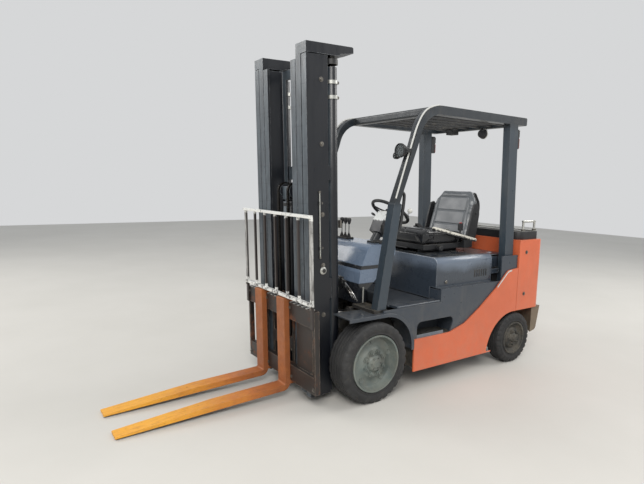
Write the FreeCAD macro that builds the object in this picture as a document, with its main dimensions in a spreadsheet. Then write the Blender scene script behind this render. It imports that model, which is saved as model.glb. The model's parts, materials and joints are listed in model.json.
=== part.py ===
import FreeCAD, Part
import math
import os
import Sketcher

os.makedirs("parts", exist_ok=True)
doc = FreeCAD.newDocument("forklift")
Vector = FreeCAD.Vector

# Driving sizes, in millimetres and degrees.
# Two frames are used. In the truck frame X is the truck's left, Y its rear, Z up, from the ground under
# the drive axle. In the mast frame the same axes start at the drive axle's centre and lean with the mast.
SIZES = (
    # alias, value
    ("wheelbase", 1473),
    ("tail", 1840),
    ("body_half_width", 515),
    ("plate", 12),
    ("play", 0.3),
    ("running_gap", 6),
    ("pin_gap", 0.6),
    ("fender_skin", 8),
    # wheels
    ("drive_tyre_radius", 266.5),
    ("drive_tyre_width", 178),
    ("drive_stand_out", 17.5),
    ("drive_rim_radius", 190.5),
    ("rail_gap", 34.5),
    ("mast_gap", 24.5),
    ("tyre_clearance", 42),
    ("fender_bend", 250),
    ("steer_tyre_radius", 203),
    ("steer_tyre_width", 127),
    ("steer_set_back", 0),
    ("steer_rim_radius", 133.5),
    ("rim_band", 14),
    ("kingpin_inset", 180),
    ("kingpin_radius", 20),
    ("steer_well_radius", 285),
    ("steer_arch_radius", 320),
    ("steer_arch_lead", 36),
    ("steer_arch_centre_z", 110),
    # axles
    ("drive_tube_radius", 70),
    ("bowl_radius", 120),
    ("steer_beam_depth", 110),
    ("steer_beam_height", 120),
    ("steer_boss_radius", 45),
    ("spindle_radius", 22),
    # frame
    ("rail_thickness", 70),
    ("rail_low", 430),
    ("rail_high", 560),
    ("saddle_length", 150),
    ("side_box_low", 165),
    ("skirt_low", 140),
    ("skirt_front", 345),
    ("step_height", 368),
    ("step_high", 482),
    ("step_rear", 760),
    ("floor_height", 600),
    ("floor_front", 120),
    ("hood_front", 600),
    ("panel_high", 690),
    ("foot_plate", 20),
    ("deck_front", 1290),
    ("deck_high", 882),
    ("seam", 1470),
    ("panel_gap", 4),
    ("weight_low", 430),
    ("weight_high", 1000),
    ("tail_low", 210),
    # hood and seat
    ("hood_inset", 65),
    ("hinge_y", 1300),
    ("hinge_z", 760),
    ("hinge_pin_radius", 8),
    ("hood_high", 905),
    ("hood_rear", 1275),
    ("hood_rear_side", 1210),
    ("hood_skin", 8),
    ("seat_half_width", 240),
    ("cushion_front", 660),
    ("cushion_rear", 1150),
    ("cushion_low", 970),
    ("cushion_high", 1090),
    ("seat_back_high", 1420),
    # guard
    ("guard_inset", 35),
    ("pillar_width", 60),
    ("roof_front", 520),
    ("roof_rear", 1500),
    ("roof_high", 1955),
    ("sheath_high", 1290),
    ("roof_depth", 60),
    ("roof_bar_height", 40),
    ("rear_pillar_foot_y", 1330),
    ("rear_pillar_depth", 100),
    # cowl and controls
    ("cowl_half_width", 260),
    ("cowl_front", 60),
    ("cowl_high", 1000),
    ("wheel_hub_y", 540),
    ("wheel_hub_z", 1210),
    ("column_lean", 35),
    ("column_radius", 32),
    ("column_length", 300),
    ("steering_radius", 150),
    ("steering_grip", 13),
    # mast
    ("mast_lean", 2.3),
    ("rail_front", 380),
    ("rail_depth", 155),
    ("flange_share", 0.17),
    ("rail_web", 15),
    ("nest_gap", 6),
    ("outer_low", -205),
    ("outer_high", 1925),
    ("middle_low", -190),
    ("inner_low", -175),
    ("inner_high", 1910),
    ("top_beam_high", 1992),
    ("top_beam_rear", 30),
    ("lift_barrel_radius", 36),
    ("lift_rod_radius", 24),
    ("lift_inset", 45),
    ("lift_place_y", 170),
    ("free_barrel_radius", 46),
    ("free_rod_radius", 30),
    ("free_place_y", 312),
    ("free_barrel_high", 1040),
    ("sheave_radius", 46),
    ("chain_width", 20),
    ("chain_thickness", 12),
    # carriage and forks
    ("bar_rear", 388),
    ("bar_thickness", 35),
    ("bar_height", 110),
    ("carriage_half_width", 450),
    ("carriage_low", -135),
    ("carriage_high", 395),
    ("backrest_low", 430),
    ("backrest_high", 980),
    ("backrest_bar", 18),
    ("fork_length", 1067),
    ("fork_width", 100),
    ("fork_thickness", 40),
    ("fork_tip", 12),
    ("fork_low", -200),
    ("fork_shank_high", 412),
    ("fork_left_place", 100),
    ("fork_right_place", -210),
    # tilt cylinders
    ("tilt_inset", 80),
    ("tilt_barrel_radius", 36),
    ("tilt_rod_radius", 18),
    ("tilt_pin_radius", 15),
    ("tilt_barrel_length", 300),
    ("tilt_neck_length", 30),
    ("tilt_lug_width", 30),
    ("tilt_slot_width", 36),
    ("tilt_ear_width", 88),
    ("tilt_ear_rise", 24),
    ("eye_slot_width", 40),
    ("eye_ear_width", 76),
    ("eye_ear_rise", 26),
    ("tilt_foot_y", 330),
    ("tilt_foot_z", 515),
    ("tilt_eye_y", 172),
    ("tilt_eye_z", 290),
)

# Sizes that follow from the driving ones, each with its clearance.
DERIVED = (
    # alias, formula
    ("drive_tyre_outer", "body_half_width + drive_stand_out"),
    ("steer_tyre_outer", "body_half_width - steer_set_back"),
    ("tyre_inside", "drive_tyre_outer - drive_tyre_width"),
    ("fender_low", "2 * drive_tyre_radius + tyre_clearance"),
    ("rail_outside", "tyre_inside - rail_gap"),
    ("rail_inside", "rail_outside - rail_thickness"),
    ("step_inside", "rail_outside + 5"),
    ("kingpin_place", "steer_tyre_outer - kingpin_inset"),
    ("steer_arch_centre_y", "wheelbase - steer_arch_lead"),
    ("boss_place", "wheelbase - 93"),
    ("box_front", "skirt_front + 8"),
    ("box_rear", "steer_arch_centre_y - steer_arch_radius - 22"),
    ("hood_half_width", "body_half_width - hood_inset"),
    ("guard_half_width", "body_half_width - guard_inset"),
    ("guard_inside", "guard_half_width - pillar_width"),
    ("hood_notch_inside", "guard_inside - 28"),
    ("outer_half_width", "tyre_inside - mast_gap"),
    ("rail_flange", "outer_half_width * flange_share"),
    ("middle_half_width", "outer_half_width - rail_flange - nest_gap"),
    ("inner_half_width", "middle_half_width - rail_flange - nest_gap"),
    ("plate_outside", "inner_half_width - rail_flange - running_gap"),
    ("sheave_place_x", "(plate_outside - 22) / 2"),
    ("lift_place_x", "outer_half_width - lift_inset"),
    ("tilt_place_x", "lift_place_x - tilt_inset"),
    ("arm_place_x", "lift_place_x - 68"),
)

sheet = doc.addObject("Spreadsheet::Sheet", "Sizes")


class Size:
    """A size known as a number and as the text that a property is bound to."""

    def __init__(self, value, text=None):
        self.value = float(value)
        self.text = text if text is not None else repr(self.value)

    def combined(self, other, sign):
        other = sized(other)
        value = {"+": self.value + other.value, "-": self.value - other.value,
                 "*": self.value * other.value,
                 "/": self.value / other.value if other.value else 0.0}[sign]
        return Size(value, "(%s %s %s)" % (self.text, sign, other.text))

    def __add__(self, other):
        return self.combined(other, "+")

    def __radd__(self, other):
        return sized(other).combined(self, "+")

    def __sub__(self, other):
        return self.combined(other, "-")

    def __rsub__(self, other):
        return sized(other).combined(self, "-")

    def __mul__(self, other):
        return self.combined(other, "*")

    def __rmul__(self, other):
        return sized(other).combined(self, "*")

    def __truediv__(self, other):
        return self.combined(other, "/")

    def __neg__(self):
        return Size(-self.value, "(-%s)" % self.text)


def sized(value):
    return value if isinstance(value, Size) else Size(value)


def sine(angle):
    return Size(math.sin(math.radians(angle.value)), "sin(%s)" % angle.text)


def cosine(angle):
    return Size(math.cos(math.radians(angle.value)), "cos(%s)" % angle.text)


class Sizes:
    """Every driving size by its name."""


of = Sizes()
given = [(alias, str(value)) for alias, value in SIZES] + [(alias, "=" + formula) for alias, formula in DERIVED]
for row, (alias, content) in enumerate(given, start=1):
    sheet.set("A%d" % row, alias)
    sheet.set("B%d" % row, content)
    sheet.setAlias("B%d" % row, alias)
doc.recompute()
for alias, content in given:
    setattr(of, alias, Size(sheet.get(alias), "Sizes." + alias))


# Helpers: each makes one object of the document and binds its sizes.

def bind(thing, **sizes):
    for name, value in sizes.items():
        thing.setExpression(name.replace("__", "."), sized(value).text)
    return thing


def at(thing, x, y, z):
    return bind(thing, Placement__Base__x=x, Placement__Base__y=y, Placement__Base__z=z)


def box(name, xs, ys, zs):
    """A block between two corners, given as (low, high) on each axis."""
    block = doc.addObject("Part::Box", name)
    bind(block, Length=sized(xs[1]) - xs[0], Width=sized(ys[1]) - ys[0], Height=sized(zs[1]) - zs[0])
    return at(block, xs[0], ys[0], zs[0])


TURNS = {"X": (Vector(0, 1, 0), 90), "Y": (Vector(1, 0, 0), -90), "Z": (Vector(0, 0, 1), 0)}


def rod(name, axis, start, length, radius):
    """A round bar that starts at a point and runs along +X, +Y or +Z."""
    bar = doc.addObject("Part::Cylinder", name)
    bar.Placement.Rotation = FreeCAD.Rotation(*TURNS[axis])
    bind(bar, Radius=radius, Height=length)
    return at(bar, *start)


def cone(name, axis, start, length, low_radius, high_radius):
    taper = doc.addObject("Part::Cone", name)
    taper.Placement.Rotation = FreeCAD.Rotation(*TURNS[axis])
    bind(taper, Radius1=low_radius, Radius2=high_radius, Height=length)
    return at(taper, *start)


def leaning_rod(name, start, angle, length, radius):
    """A round bar in the YZ plane: angle 0 points up, and a positive one tips it to the front."""
    bar = doc.addObject("Part::Cylinder", name)
    bar.Placement.Rotation = FreeCAD.Rotation(Vector(1, 0, 0), 10)
    bind(bar, Radius=radius, Height=length, Placement__Rotation__Angle=angle)
    return at(bar, *start)


def fused(name, *pieces):
    whole = doc.addObject("Part::MultiFuse", name)
    whole.Shapes = list(pieces)
    return whole


def cut(name, base, *tools):
    rest = doc.addObject("Part::Cut", name)
    rest.Base = base
    rest.Tool = tools[0] if len(tools) == 1 else fused(name + "_tools", *tools)
    return rest


def common(name, first, second):
    both = doc.addObject("Part::Common", name)
    both.Base = first
    both.Tool = second
    return both


def mirrored(name, piece):
    """The same piece on the truck's other side."""
    other = doc.addObject("Part::Mirroring", name)
    other.Source = piece
    other.Normal = Vector(1, 0, 0)
    return other


def pair(name, piece):
    return together(name, piece, mirrored(name + "_other", piece))


def together(name, *pieces):
    group = doc.addObject("Part::Compound", name)
    group.Links = list(pieces)
    return group


def draw_outline(sketch, corners):
    """A closed outline of straight runs. A corner is (u, v) or, where it is rounded, (u, v, radius)."""
    count = len(corners)
    spots = [Vector(sized(c[0]).value, sized(c[1]).value, 0) for c in corners]
    ins, outs, arcs = [], [], []
    for i, corner in enumerate(corners):
        here = spots[i]
        if len(corner) == 2:
            ins.append(here)
            outs.append(here)
            arcs.append(None)
            continue
        radius = sized(corner[2]).value
        back = (spots[i - 1] - here).normalize()
        ahead = (spots[(i + 1) % count] - here).normalize()
        half = back.getAngle(ahead) / 2
        setback = radius / math.tan(half)
        ins.append(here + back * setback)
        outs.append(here + ahead * setback)
        centre = here + (back + ahead).normalize() * (radius / math.sin(half))
        left_turn = (-back).cross(ahead).z > 0
        first, last = (ins[i], outs[i]) if left_turn else (outs[i], ins[i])
        low = math.atan2(first.y - centre.y, first.x - centre.x)
        high = math.atan2(last.y - centre.y, last.x - centre.x)
        circle = Part.Circle(centre, Vector(0, 0, 1), radius)
        arcs.append((Part.ArcOfCircle(circle, low, high), left_turn))
    start = sketch.GeometryCount
    for i in range(count):
        sketch.addGeometry(Part.LineSegment(outs[i], ins[(i + 1) % count]), False)
    for i, corner in enumerate(corners):
        line_in = start + (i - 1) % count
        line_out = start + i
        if arcs[i] is None:
            sketch.addConstraint(Sketcher.Constraint("Coincident", line_in, 2, line_out, 1))
            place_point(sketch, line_out, 1, corner, start + i)
            continue
        arc, left_turn = arcs[i]
        arc_id = sketch.addGeometry(arc, False)
        near, far = (1, 2) if left_turn else (2, 1)
        sketch.addConstraint(Sketcher.Constraint("Tangent", line_in, 2, arc_id, near))
        sketch.addConstraint(Sketcher.Constraint("Tangent", arc_id, far, line_out, 1))
        number = sketch.addConstraint(Sketcher.Constraint("Radius", arc_id, sized(corner[2]).value))
        name_and_bind(sketch, number, "r_%d" % (start + i), corner[2])
        point_id = sketch.addGeometry(Part.Point(spots[i]), True)
        sketch.addConstraint(Sketcher.Constraint("PointOnObject", point_id, 1, line_in))
        sketch.addConstraint(Sketcher.Constraint("PointOnObject", point_id, 1, line_out))
        place_point(sketch, point_id, 1, corner, start + i)


def name_and_bind(sketch, number, name, size):
    sketch.renameConstraint(number, name)
    sketch.setExpression("Constraints." + name, sized(size).text)


def place_point(sketch, geometry, end, corner, tag):
    for kind, letter, size in (("DistanceX", "u", corner[0]), ("DistanceY", "v", corner[1])):
        number = sketch.addConstraint(Sketcher.Constraint(kind, -1, 1, geometry, end, sized(size).value))
        name_and_bind(sketch, number, "%s_%d" % (letter, tag), size)


def draw_circle(sketch, u, v, radius):
    spot = Vector(sized(u).value, sized(v).value, 0)
    circle = sketch.addGeometry(Part.Circle(spot, Vector(0, 0, 1), sized(radius).value), False)
    place_point(sketch, circle, 3, (u, v), circle)
    number = sketch.addConstraint(Sketcher.Constraint("Radius", circle, sized(radius).value))
    name_and_bind(sketch, number, "r_%d" % circle, radius)


def new_sketch(body, name, plane):
    sketch = body.newObject("Sketcher::SketchObject", name)
    face = [f for f in body.Origin.OriginFeatures if f.Role == plane + "_Plane"][0]
    sketch.AttachmentSupport = [(face, "")]
    sketch.MapMode = "FlatFace"
    return sketch


def profile(name, plane, outline, span, holes=(), circles=()):
    """An outline drawn in a plane and carried from span's low end to its high end along the third axis."""
    body = doc.addObject("PartDesign::Body", name)
    sketch = new_sketch(body, name + "_outline", plane)
    draw_outline(sketch, outline)
    for hole in holes:
        draw_outline(sketch, hole)
    for circle in circles:
        draw_circle(sketch, *circle)
    offset = -sized(span[1]) if plane == "XZ" else sized(span[0])
    bind(sketch, AttachmentOffset__Base__z=offset)
    pad = body.newObject("PartDesign::Pad", name + "_pad")
    pad.Profile = sketch
    bind(pad, Length=sized(span[1]) - span[0])
    return body


def turned(name, outline, about="H_Axis", plane="XY"):
    """An outline turned once round its own axis: (along, radius) corners about X."""
    body = doc.addObject("PartDesign::Body", name)
    sketch = new_sketch(body, name + "_outline", plane)
    draw_outline(sketch, outline)
    turn = body.newObject("PartDesign::Revolution", name + "_turn")
    turn.Profile = sketch
    turn.ReferenceAxis = (sketch, [about])
    turn.Angle = 360
    return body


def rectangle(us, vs):
    return [(us[0], vs[0]), (us[1], vs[0]), (us[1], vs[1]), (us[0], vs[1])]


def rounded_rectangle(us, vs, radius):
    return [corner + (radius,) for corner in rectangle(us, vs)]


# Places worked out from the driving sizes.
axle_height = of.drive_tyre_radius
rail_rear = of.rail_depth - of.rail_front
fork_face = -(of.bar_rear + of.bar_thickness + of.fork_thickness)
tip_y = fork_face - of.fork_length
tip_z = of.fork_low + of.fork_tip
tip_reach = tip_y * cosine(of.mast_lean) - tip_z * sine(of.mast_lean)
shift = -(of.tail + tip_reach) / 2
foot_low = of.fender_low + of.fender_skin + of.play
foot_high = foot_low + of.foot_plate
hood_low = of.panel_high + of.play
side_box_high = of.step_height - of.plate - of.play
saddle_rear = of.boss_place + 75
saddle_high = of.rail_low + 60
nodes = []


def span(sign, near, far):
    """The X range between two distances from the middle, on the left (1) or the right (-1)."""
    return (sized(near), sized(far)) if sign > 0 else (-sized(far), -sized(near))


def node(thing, label):
    thing.Label = label
    nodes.append(thing)
    return thing


def whole(thing):
    """A single primitive keeps its own place inside a group, which then gets the sub-part's."""
    single = thing.TypeId in ("Part::Box", "Part::Cylinder")
    return together(thing.Name + "_group", thing) if single else thing


def on_truck(label, thing):
    """A sub-part drawn in the truck frame."""
    return node(at(whole(thing), 0, shift, 0), label)


def on_mast(label, thing):
    """A sub-part drawn in the mast frame, which leans about the drive axle."""
    thing.Placement.Rotation = FreeCAD.Rotation(Vector(1, 0, 0), 10)
    bind(thing, Placement__Rotation__Angle=of.mast_lean)
    return node(at(thing, 0, shift, axle_height), label)


def on_wheel(label, thing, x, y, z):
    """A sub-part drawn about its own centre."""
    return node(at(thing, x, shift + y, z), label)


# Frame: two rails, side boxes, cross members, axle saddles and pillar brackets in one weldment.

def frame():
    rail_out = of.rail_outside
    saddle = of.saddle_length / 2
    rails = [box("rail_" + side, (x0, x1), (-saddle, of.seam - of.play), (of.rail_low, of.rail_high))
             for side, x0, x1 in (("left", of.rail_inside, rail_out), ("right", -rail_out, -of.rail_inside))]
    side_low = rectangle((of.box_front, of.box_rear), (of.side_box_low, side_box_high))
    boxes = [profile("side_box_" + side, "YZ", side_low, span)
             for side, span in (("left", (of.rail_inside, of.body_half_width - of.plate - of.play)),
                                ("right", (of.plate + of.play - of.body_half_width, -of.rail_inside)))]
    posts = [box("side_post_" + side, (x0, x1), (of.box_front, of.box_rear), (side_box_high, of.rail_low))
             for side, x0, x1 in (("left", of.rail_inside, rail_out), ("right", -rail_out, -of.rail_inside))]
    members = (((95, 155), (of.rail_low, of.rail_low + 50)),
               ((of.hood_front + 100, of.box_rear), (of.rail_low - 40, of.rail_low)),
               ((of.box_rear + 85, of.box_rear + 145), (of.rail_low, of.rail_low + 90)))
    crosses = [box("cross_%d" % i, (-of.rail_inside, of.rail_inside), ys, zs) for i, (ys, zs) in enumerate(members)]
    saddles = []
    for side, x0, x1 in (("left", of.rail_inside, rail_out), ("right", -rail_out, -of.rail_inside)):
        block = box("saddle_block_" + side, (x0, x1), (-saddle, saddle), (axle_height, of.rail_low))
        bore = rod("saddle_bore_" + side, "X", (x0, 0, axle_height), of.rail_thickness,
                   of.drive_tube_radius + of.play)
        saddles.append(cut("saddle_" + side, block, bore))
    feet = []
    foot_inside = of.tilt_place_x + of.tilt_barrel_radius + of.running_gap
    for side, sign in (("left", 1), ("right", -1)):
        feet.append(box("front_block_" + side, span(sign, of.rail_inside, of.outer_half_width + 4), (50, 115),
                        (of.rail_high, foot_low)))
        feet.append(box("front_foot_" + side, span(sign, foot_inside, of.guard_half_width), (5, 115),
                        (foot_low, foot_high)))
        feet.append(box("rear_foot_" + side, span(sign, of.rail_inside, of.guard_half_width),
                        (of.hinge_y - 20, of.seam - 20), (of.rail_high, of.rail_high + 30)))
        post = span(sign, of.guard_inside - 15, of.guard_inside - 3)
        feet.append(box("hinge_post_" + side, post, (of.hinge_y - 20, of.rear_pillar_foot_y - 1),
                        (of.rail_high + 30, of.hinge_z + 25)))
        pin = span(sign, of.guard_inside - 15, of.hood_half_width - of.hood_skin - 1)
        feet.append(rod("hinge_pin_" + side, "X", (pin[0], of.hinge_y, of.hinge_z), pin[1] - pin[0],
                        of.hinge_pin_radius))
    boss_seat = box("boss_saddle", (-of.rail_inside, of.rail_inside), (of.boss_place + 5, saddle_rear),
                    (of.weight_low - 40, saddle_high))
    boss_hang = box("boss_hanger", (-70, 70), (of.boss_place + 5, of.boss_place + 35),
                    (of.steer_tyre_radius - 60, of.weight_low - 40))
    boss_bore = rod("boss_bore", "Y", (0, of.boss_place, of.steer_tyre_radius), 80, of.steer_boss_radius + of.play)
    hanger = cut("boss_hanger_bored", boss_hang, boss_bore)
    tilt_ears = []
    ear_high = of.tilt_foot_z + of.tilt_ear_rise
    back = of.tilt_foot_y + 40
    for side, middle in (("left", of.tilt_place_x), ("right", -of.tilt_place_x)):
        near, far = middle - of.tilt_ear_width / 2, middle + of.tilt_ear_width / 2
        base = box("tilt_foot_" + side, (near, far), (of.tilt_foot_y - 22, back + 30), (of.rail_low, ear_high))
        slot = box("tilt_slot_" + side, (middle - of.tilt_slot_width / 2, middle + of.tilt_slot_width / 2),
                   (of.tilt_foot_y - 60, back + 6), (of.rail_low - 1, ear_high + 6))
        pin = rod("tilt_pin_" + side, "X", (near, of.tilt_foot_y, of.tilt_foot_z), of.tilt_ear_width,
                  of.tilt_pin_radius)
        tilt_ears.append(fused("tilt_mount_" + side, cut("tilt_ear_" + side, base, slot), pin))
    beam = box("tilt_cross", (-of.rail_inside, of.rail_inside), (back + 6, back + 30),
               (of.rail_low, of.rail_low + 60))
    return fused("frame_weldment", *rails, *boxes, *posts, *crosses, *saddles, *feet, boss_seat, hanger,
                 *tilt_ears, beam)


on_truck("frame", frame())


# Body panels.

def arch_cutter(name, y, z, radius):
    """A round tool that reaches past the body on both sides."""
    reach = of.body_half_width + 85
    return rod(name, "X", (-reach, y, z), reach * 2, radius)


def fender_line(out):
    """The fender's bend, a distance outside its inner face: its rear, its height and its radius."""
    return of.skirt_front - of.play - of.fender_skin + out, of.fender_low + out, of.fender_bend + out


def skirts():
    """Skirts whose upper edge sweeps from the seam forwards and down to the step."""
    rear = of.seam - of.panel_gap
    outline = [(of.skirt_front, of.skirt_low), (rear, of.skirt_low), (rear, 778), (1345, 768, 60),
               (1205, 641, 300), (1018, 508, 300), (859, 412, 200), (700, of.step_height, 200),
               (of.skirt_front, of.step_height)]
    plate = profile("skirt_plate", "YZ", outline, (of.body_half_width - of.plate, of.body_half_width))
    arch = arch_cutter("skirt_arch", of.steer_arch_centre_y, of.steer_arch_centre_z, of.steer_arch_radius)
    return pair("skirt_pair", cut("skirt_cut", plate, arch))


def side_panels():
    """Dark lower side panels: a plate behind the skirt with the step's recess let into it."""
    outer = of.body_half_width - of.plate - of.play
    inner = outer - of.plate
    low = side_box_high + of.play
    rear, pillar = of.seam - of.panel_gap, of.rear_pillar_foot_y - 60
    outline = [(70, low), (70, of.floor_height), (of.hood_front, of.floor_height), (of.hood_front, of.panel_high),
               (pillar, of.panel_high), (pillar, of.deck_high), (rear, of.deck_high), (rear, low)]
    recess = [(of.skirt_front + 30, low - 10), (of.step_rear - 60, low - 10),
              (of.step_rear, of.step_high, 40), (of.skirt_front + 30, of.step_high, 40)]
    plate = profile("side_plate", "YZ", outline, (inner, outer))
    opening = profile("step_opening", "YZ", recess, (inner - 20, outer + 20))
    rear, high, bend = fender_line(of.fender_skin + of.play)
    over_wheel = [(-100, low - 200), (rear, low - 200), (rear, high, bend), (-100, high)]
    front = profile("panel_front_arch", "YZ", over_wheel, (inner - 20, outer + 20))
    arch = arch_cutter("panel_rear_arch", of.steer_arch_centre_y, of.steer_arch_centre_z, of.steer_arch_radius)
    walls = (low, of.step_high + 8)
    back = box("step_back", (of.step_inside, of.step_inside + 8), (of.skirt_front + 30, of.step_rear), walls)
    front_wall = box("step_front_wall", (of.step_inside, inner), (of.skirt_front + 22, of.skirt_front + 30), walls)
    rear_wall = box("step_rear_wall", (of.step_inside, inner), (of.step_rear, of.step_rear + 8), walls)
    ceiling = box("step_ceiling", (of.step_inside, inner), (of.skirt_front + 30, of.step_rear),
                  (of.step_high, of.step_high + 8))
    shelf = box("hood_shelf", (of.hood_half_width - 20, inner), (of.hood_front + 10, of.hood_rear_side),
                (of.panel_high - 8, of.panel_high))
    panel = fused("side_panel_fused", cut("side_plate_cut", plate, opening, front, arch), back, front_wall,
                  rear_wall, ceiling, shelf)
    return pair("side_panel_pair", panel)


def fenders():
    """Sheets over the drive wheels, each with a lip along its outer edge."""
    inner, outer = of.outer_half_width + of.running_gap, of.body_half_width
    rear, low, bend = fender_line(0)
    high = low + of.fender_skin
    front = -(of.drive_tyre_radius - 50)
    back = rear + of.fender_skin
    foot = low - bend - 25
    sheet_outline = [(front, low), (rear, low, bend), (rear, foot), (back, foot),
                     (back, high, bend + of.fender_skin), (front, high)]
    sheet_part = profile("fender_sheet", "YZ", sheet_outline, (inner, outer))
    lip_outline = [(front, low - 16), (rear - 16, low - 16, bend - 16), (rear - 16, foot), (back, foot),
                   (back, high, bend + of.fender_skin), (front, high)]
    lip = profile("fender_lip", "YZ", lip_outline, (outer - 6, outer))
    return pair("fender_pair", fused("fender", sheet_part, lip))


def steps():
    tread = box("step_tread", (of.step_inside + 9, of.body_half_width - of.plate - 2 * of.play),
                (of.skirt_front + 31, of.step_rear - 70), (of.step_height - of.plate, of.step_height))
    return pair("step_pair", tread)


on_truck("side_skirts", skirts())
on_truck("side_panels", side_panels())
on_truck("fenders", fenders())
on_truck("steps", steps())


def floor():
    half = of.guard_inside - 4
    plate = box("floor_flat", (-half, half), (of.floor_front + 60, of.hood_front - 4),
                (of.floor_height - 8, of.floor_height))
    ramp = profile("toe_board", "YZ", [(of.floor_front + 60, of.floor_height - 8),
                                       (of.floor_front + 60, of.floor_height),
                                       (of.floor_front + 6, of.floor_height + 90),
                                       (of.floor_front + 6, of.floor_height + 78)], (-half, half))
    ribs = [box("floor_rib_%d" % i, (x, x + 30), (of.floor_front + 70, of.hood_front - 10),
                (of.rail_high + of.play, of.floor_height - 8))
            for i, x in enumerate((of.rail_inside + 20, -of.rail_inside - 50))]
    return fused("floor_fused", plate, ramp, *ribs)


def column_spot(down):
    """A point on the column's axis, some way down from the wheel's hub."""
    return 0, of.wheel_hub_y - sine(of.column_lean) * down, of.wheel_hub_z - cosine(of.column_lean) * down


def cowl():
    """The housing ahead of the driver: a swept front face, a rounded top and a hollow back."""
    low = foot_high + of.play
    front, high = of.cowl_front, of.cowl_high
    knee = front + 310
    outline = [(front - 30, low), (front + 55, low), (front + 62, of.floor_height + 95, 30),
               (front + 190, high - 200, 60), (knee, high - 75, 40), (knee, high, 30), (front + 70, high, 60),
               (front, high - 160, 200)]
    shell = profile("cowl_shell", "YZ", outline, (-of.cowl_half_width, of.cowl_half_width))
    housing = profile("column_housing", "YZ", [(knee - 70, high - 120), (knee - 40, high - 120),
                                               (knee + 108, high - 45, 30), (knee + 108, high, 15),
                                               (knee - 70, high)], (-50, 50))
    bore = leaning_rod("column_bore", column_spot(of.column_length + 1), -of.column_lean, of.column_length,
                       of.column_radius + of.play)
    return cut("cowl_bored", fused("cowl_body", shell, housing), bore)


on_truck("floor_plate", floor())
on_truck("cowl", cowl())


def guard_side():
    """Front pillar with its sheath, roof rail and rear pillar of one side, bent from flat bar."""
    inner = of.guard_inside
    foot = foot_high + of.play
    sheath, high = of.sheath_high, of.roof_high
    low = high - of.roof_depth
    bend = of.roof_front - 220
    pillar = profile("front_pillar", "YZ", [
        (30, foot), (105, foot), (208, sheath), (192, sheath + 10), (bend + 42, high - 255, 600),
        (bend + 100, low, 190), (of.roof_front + 90, low), (of.roof_front + 90, high), (bend + 76, high, 230),
        (bend, high - 255, 600), (150, sheath + 10), (142, sheath)], (inner, of.guard_half_width))
    rail = profile("roof_rail", "YZ", rounded_rectangle((of.roof_front + 60, of.roof_rear), (low, high), 12),
                   (inner, of.guard_half_width))
    rear_foot = of.rail_high + 30 + of.play
    rear = profile("rear_pillar", "YZ", [
        (of.rear_pillar_foot_y, rear_foot), (of.rear_pillar_foot_y + of.rear_pillar_depth, rear_foot),
        (of.rear_pillar_foot_y + of.rear_pillar_depth, of.deck_high + 40),
        (of.rear_pillar_foot_y + 60, high - 20), (of.rear_pillar_foot_y - 40, high - 20),
        (of.rear_pillar_foot_y, of.deck_high + 40)], (inner, of.guard_half_width))
    return fused("guard_side", pillar, rail, rear)


left_guard_side = guard_side()


def guard():
    left = left_guard_side
    inner = of.guard_inside
    header = profile("roof_header", "YZ", rounded_rectangle((of.roof_front - 20, of.roof_front + 40),
                                                           (of.roof_high - of.roof_depth, of.roof_high - 2), 14),
                     (-inner, inner))
    tail = profile("roof_tail", "YZ", rounded_rectangle((of.roof_rear - 50, of.roof_rear - 2),
                                                       (of.roof_high - of.roof_depth, of.roof_high - 2), 12),
                   (-inner, inner))
    return fused("guard_fused", left, mirrored("guard_side_right", left), header, tail)


on_truck("overhead_guard", guard())


def roof_bars():
    """Bars that run fore and aft between header and tail, evenly spaced."""
    inner = of.guard_inside
    count = 6
    pieces = []
    for i in range(count):
        x = inner * (2.0 * (i + 1) / (count + 1) - 1)
        pieces.append(profile("roof_bar_%d" % i, "XZ",
                              rounded_rectangle((x - 14, x + 14), (of.roof_high - 8 - of.roof_bar_height,
                                                                   of.roof_high - 8), 5),
                              (of.roof_front + 40 + of.play, of.roof_rear - 50 - of.play)))
    return together("roof_bar_set", *pieces)


on_truck("roof_bars", roof_bars())


def lamps():
    """Work lamps on stalks at the front pillars."""
    x = of.guard_half_width - of.pillar_width / 2
    y, z = of.roof_front - 325, of.roof_high - 315
    rim = rod("lamp_rim", "Y", (x, y, z), 18, 46)
    shell = cone("lamp_shell", "Y", (x, y + 16, z), 40, 46, 30)
    stalk = rod("lamp_stalk", "Y", (x, y + 50, z), 60, 13)
    return pair("lamp_set", cut("lamp", fused("lamp_body", shell, rim, stalk), left_guard_side))


on_truck("lamps", lamps())


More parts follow.
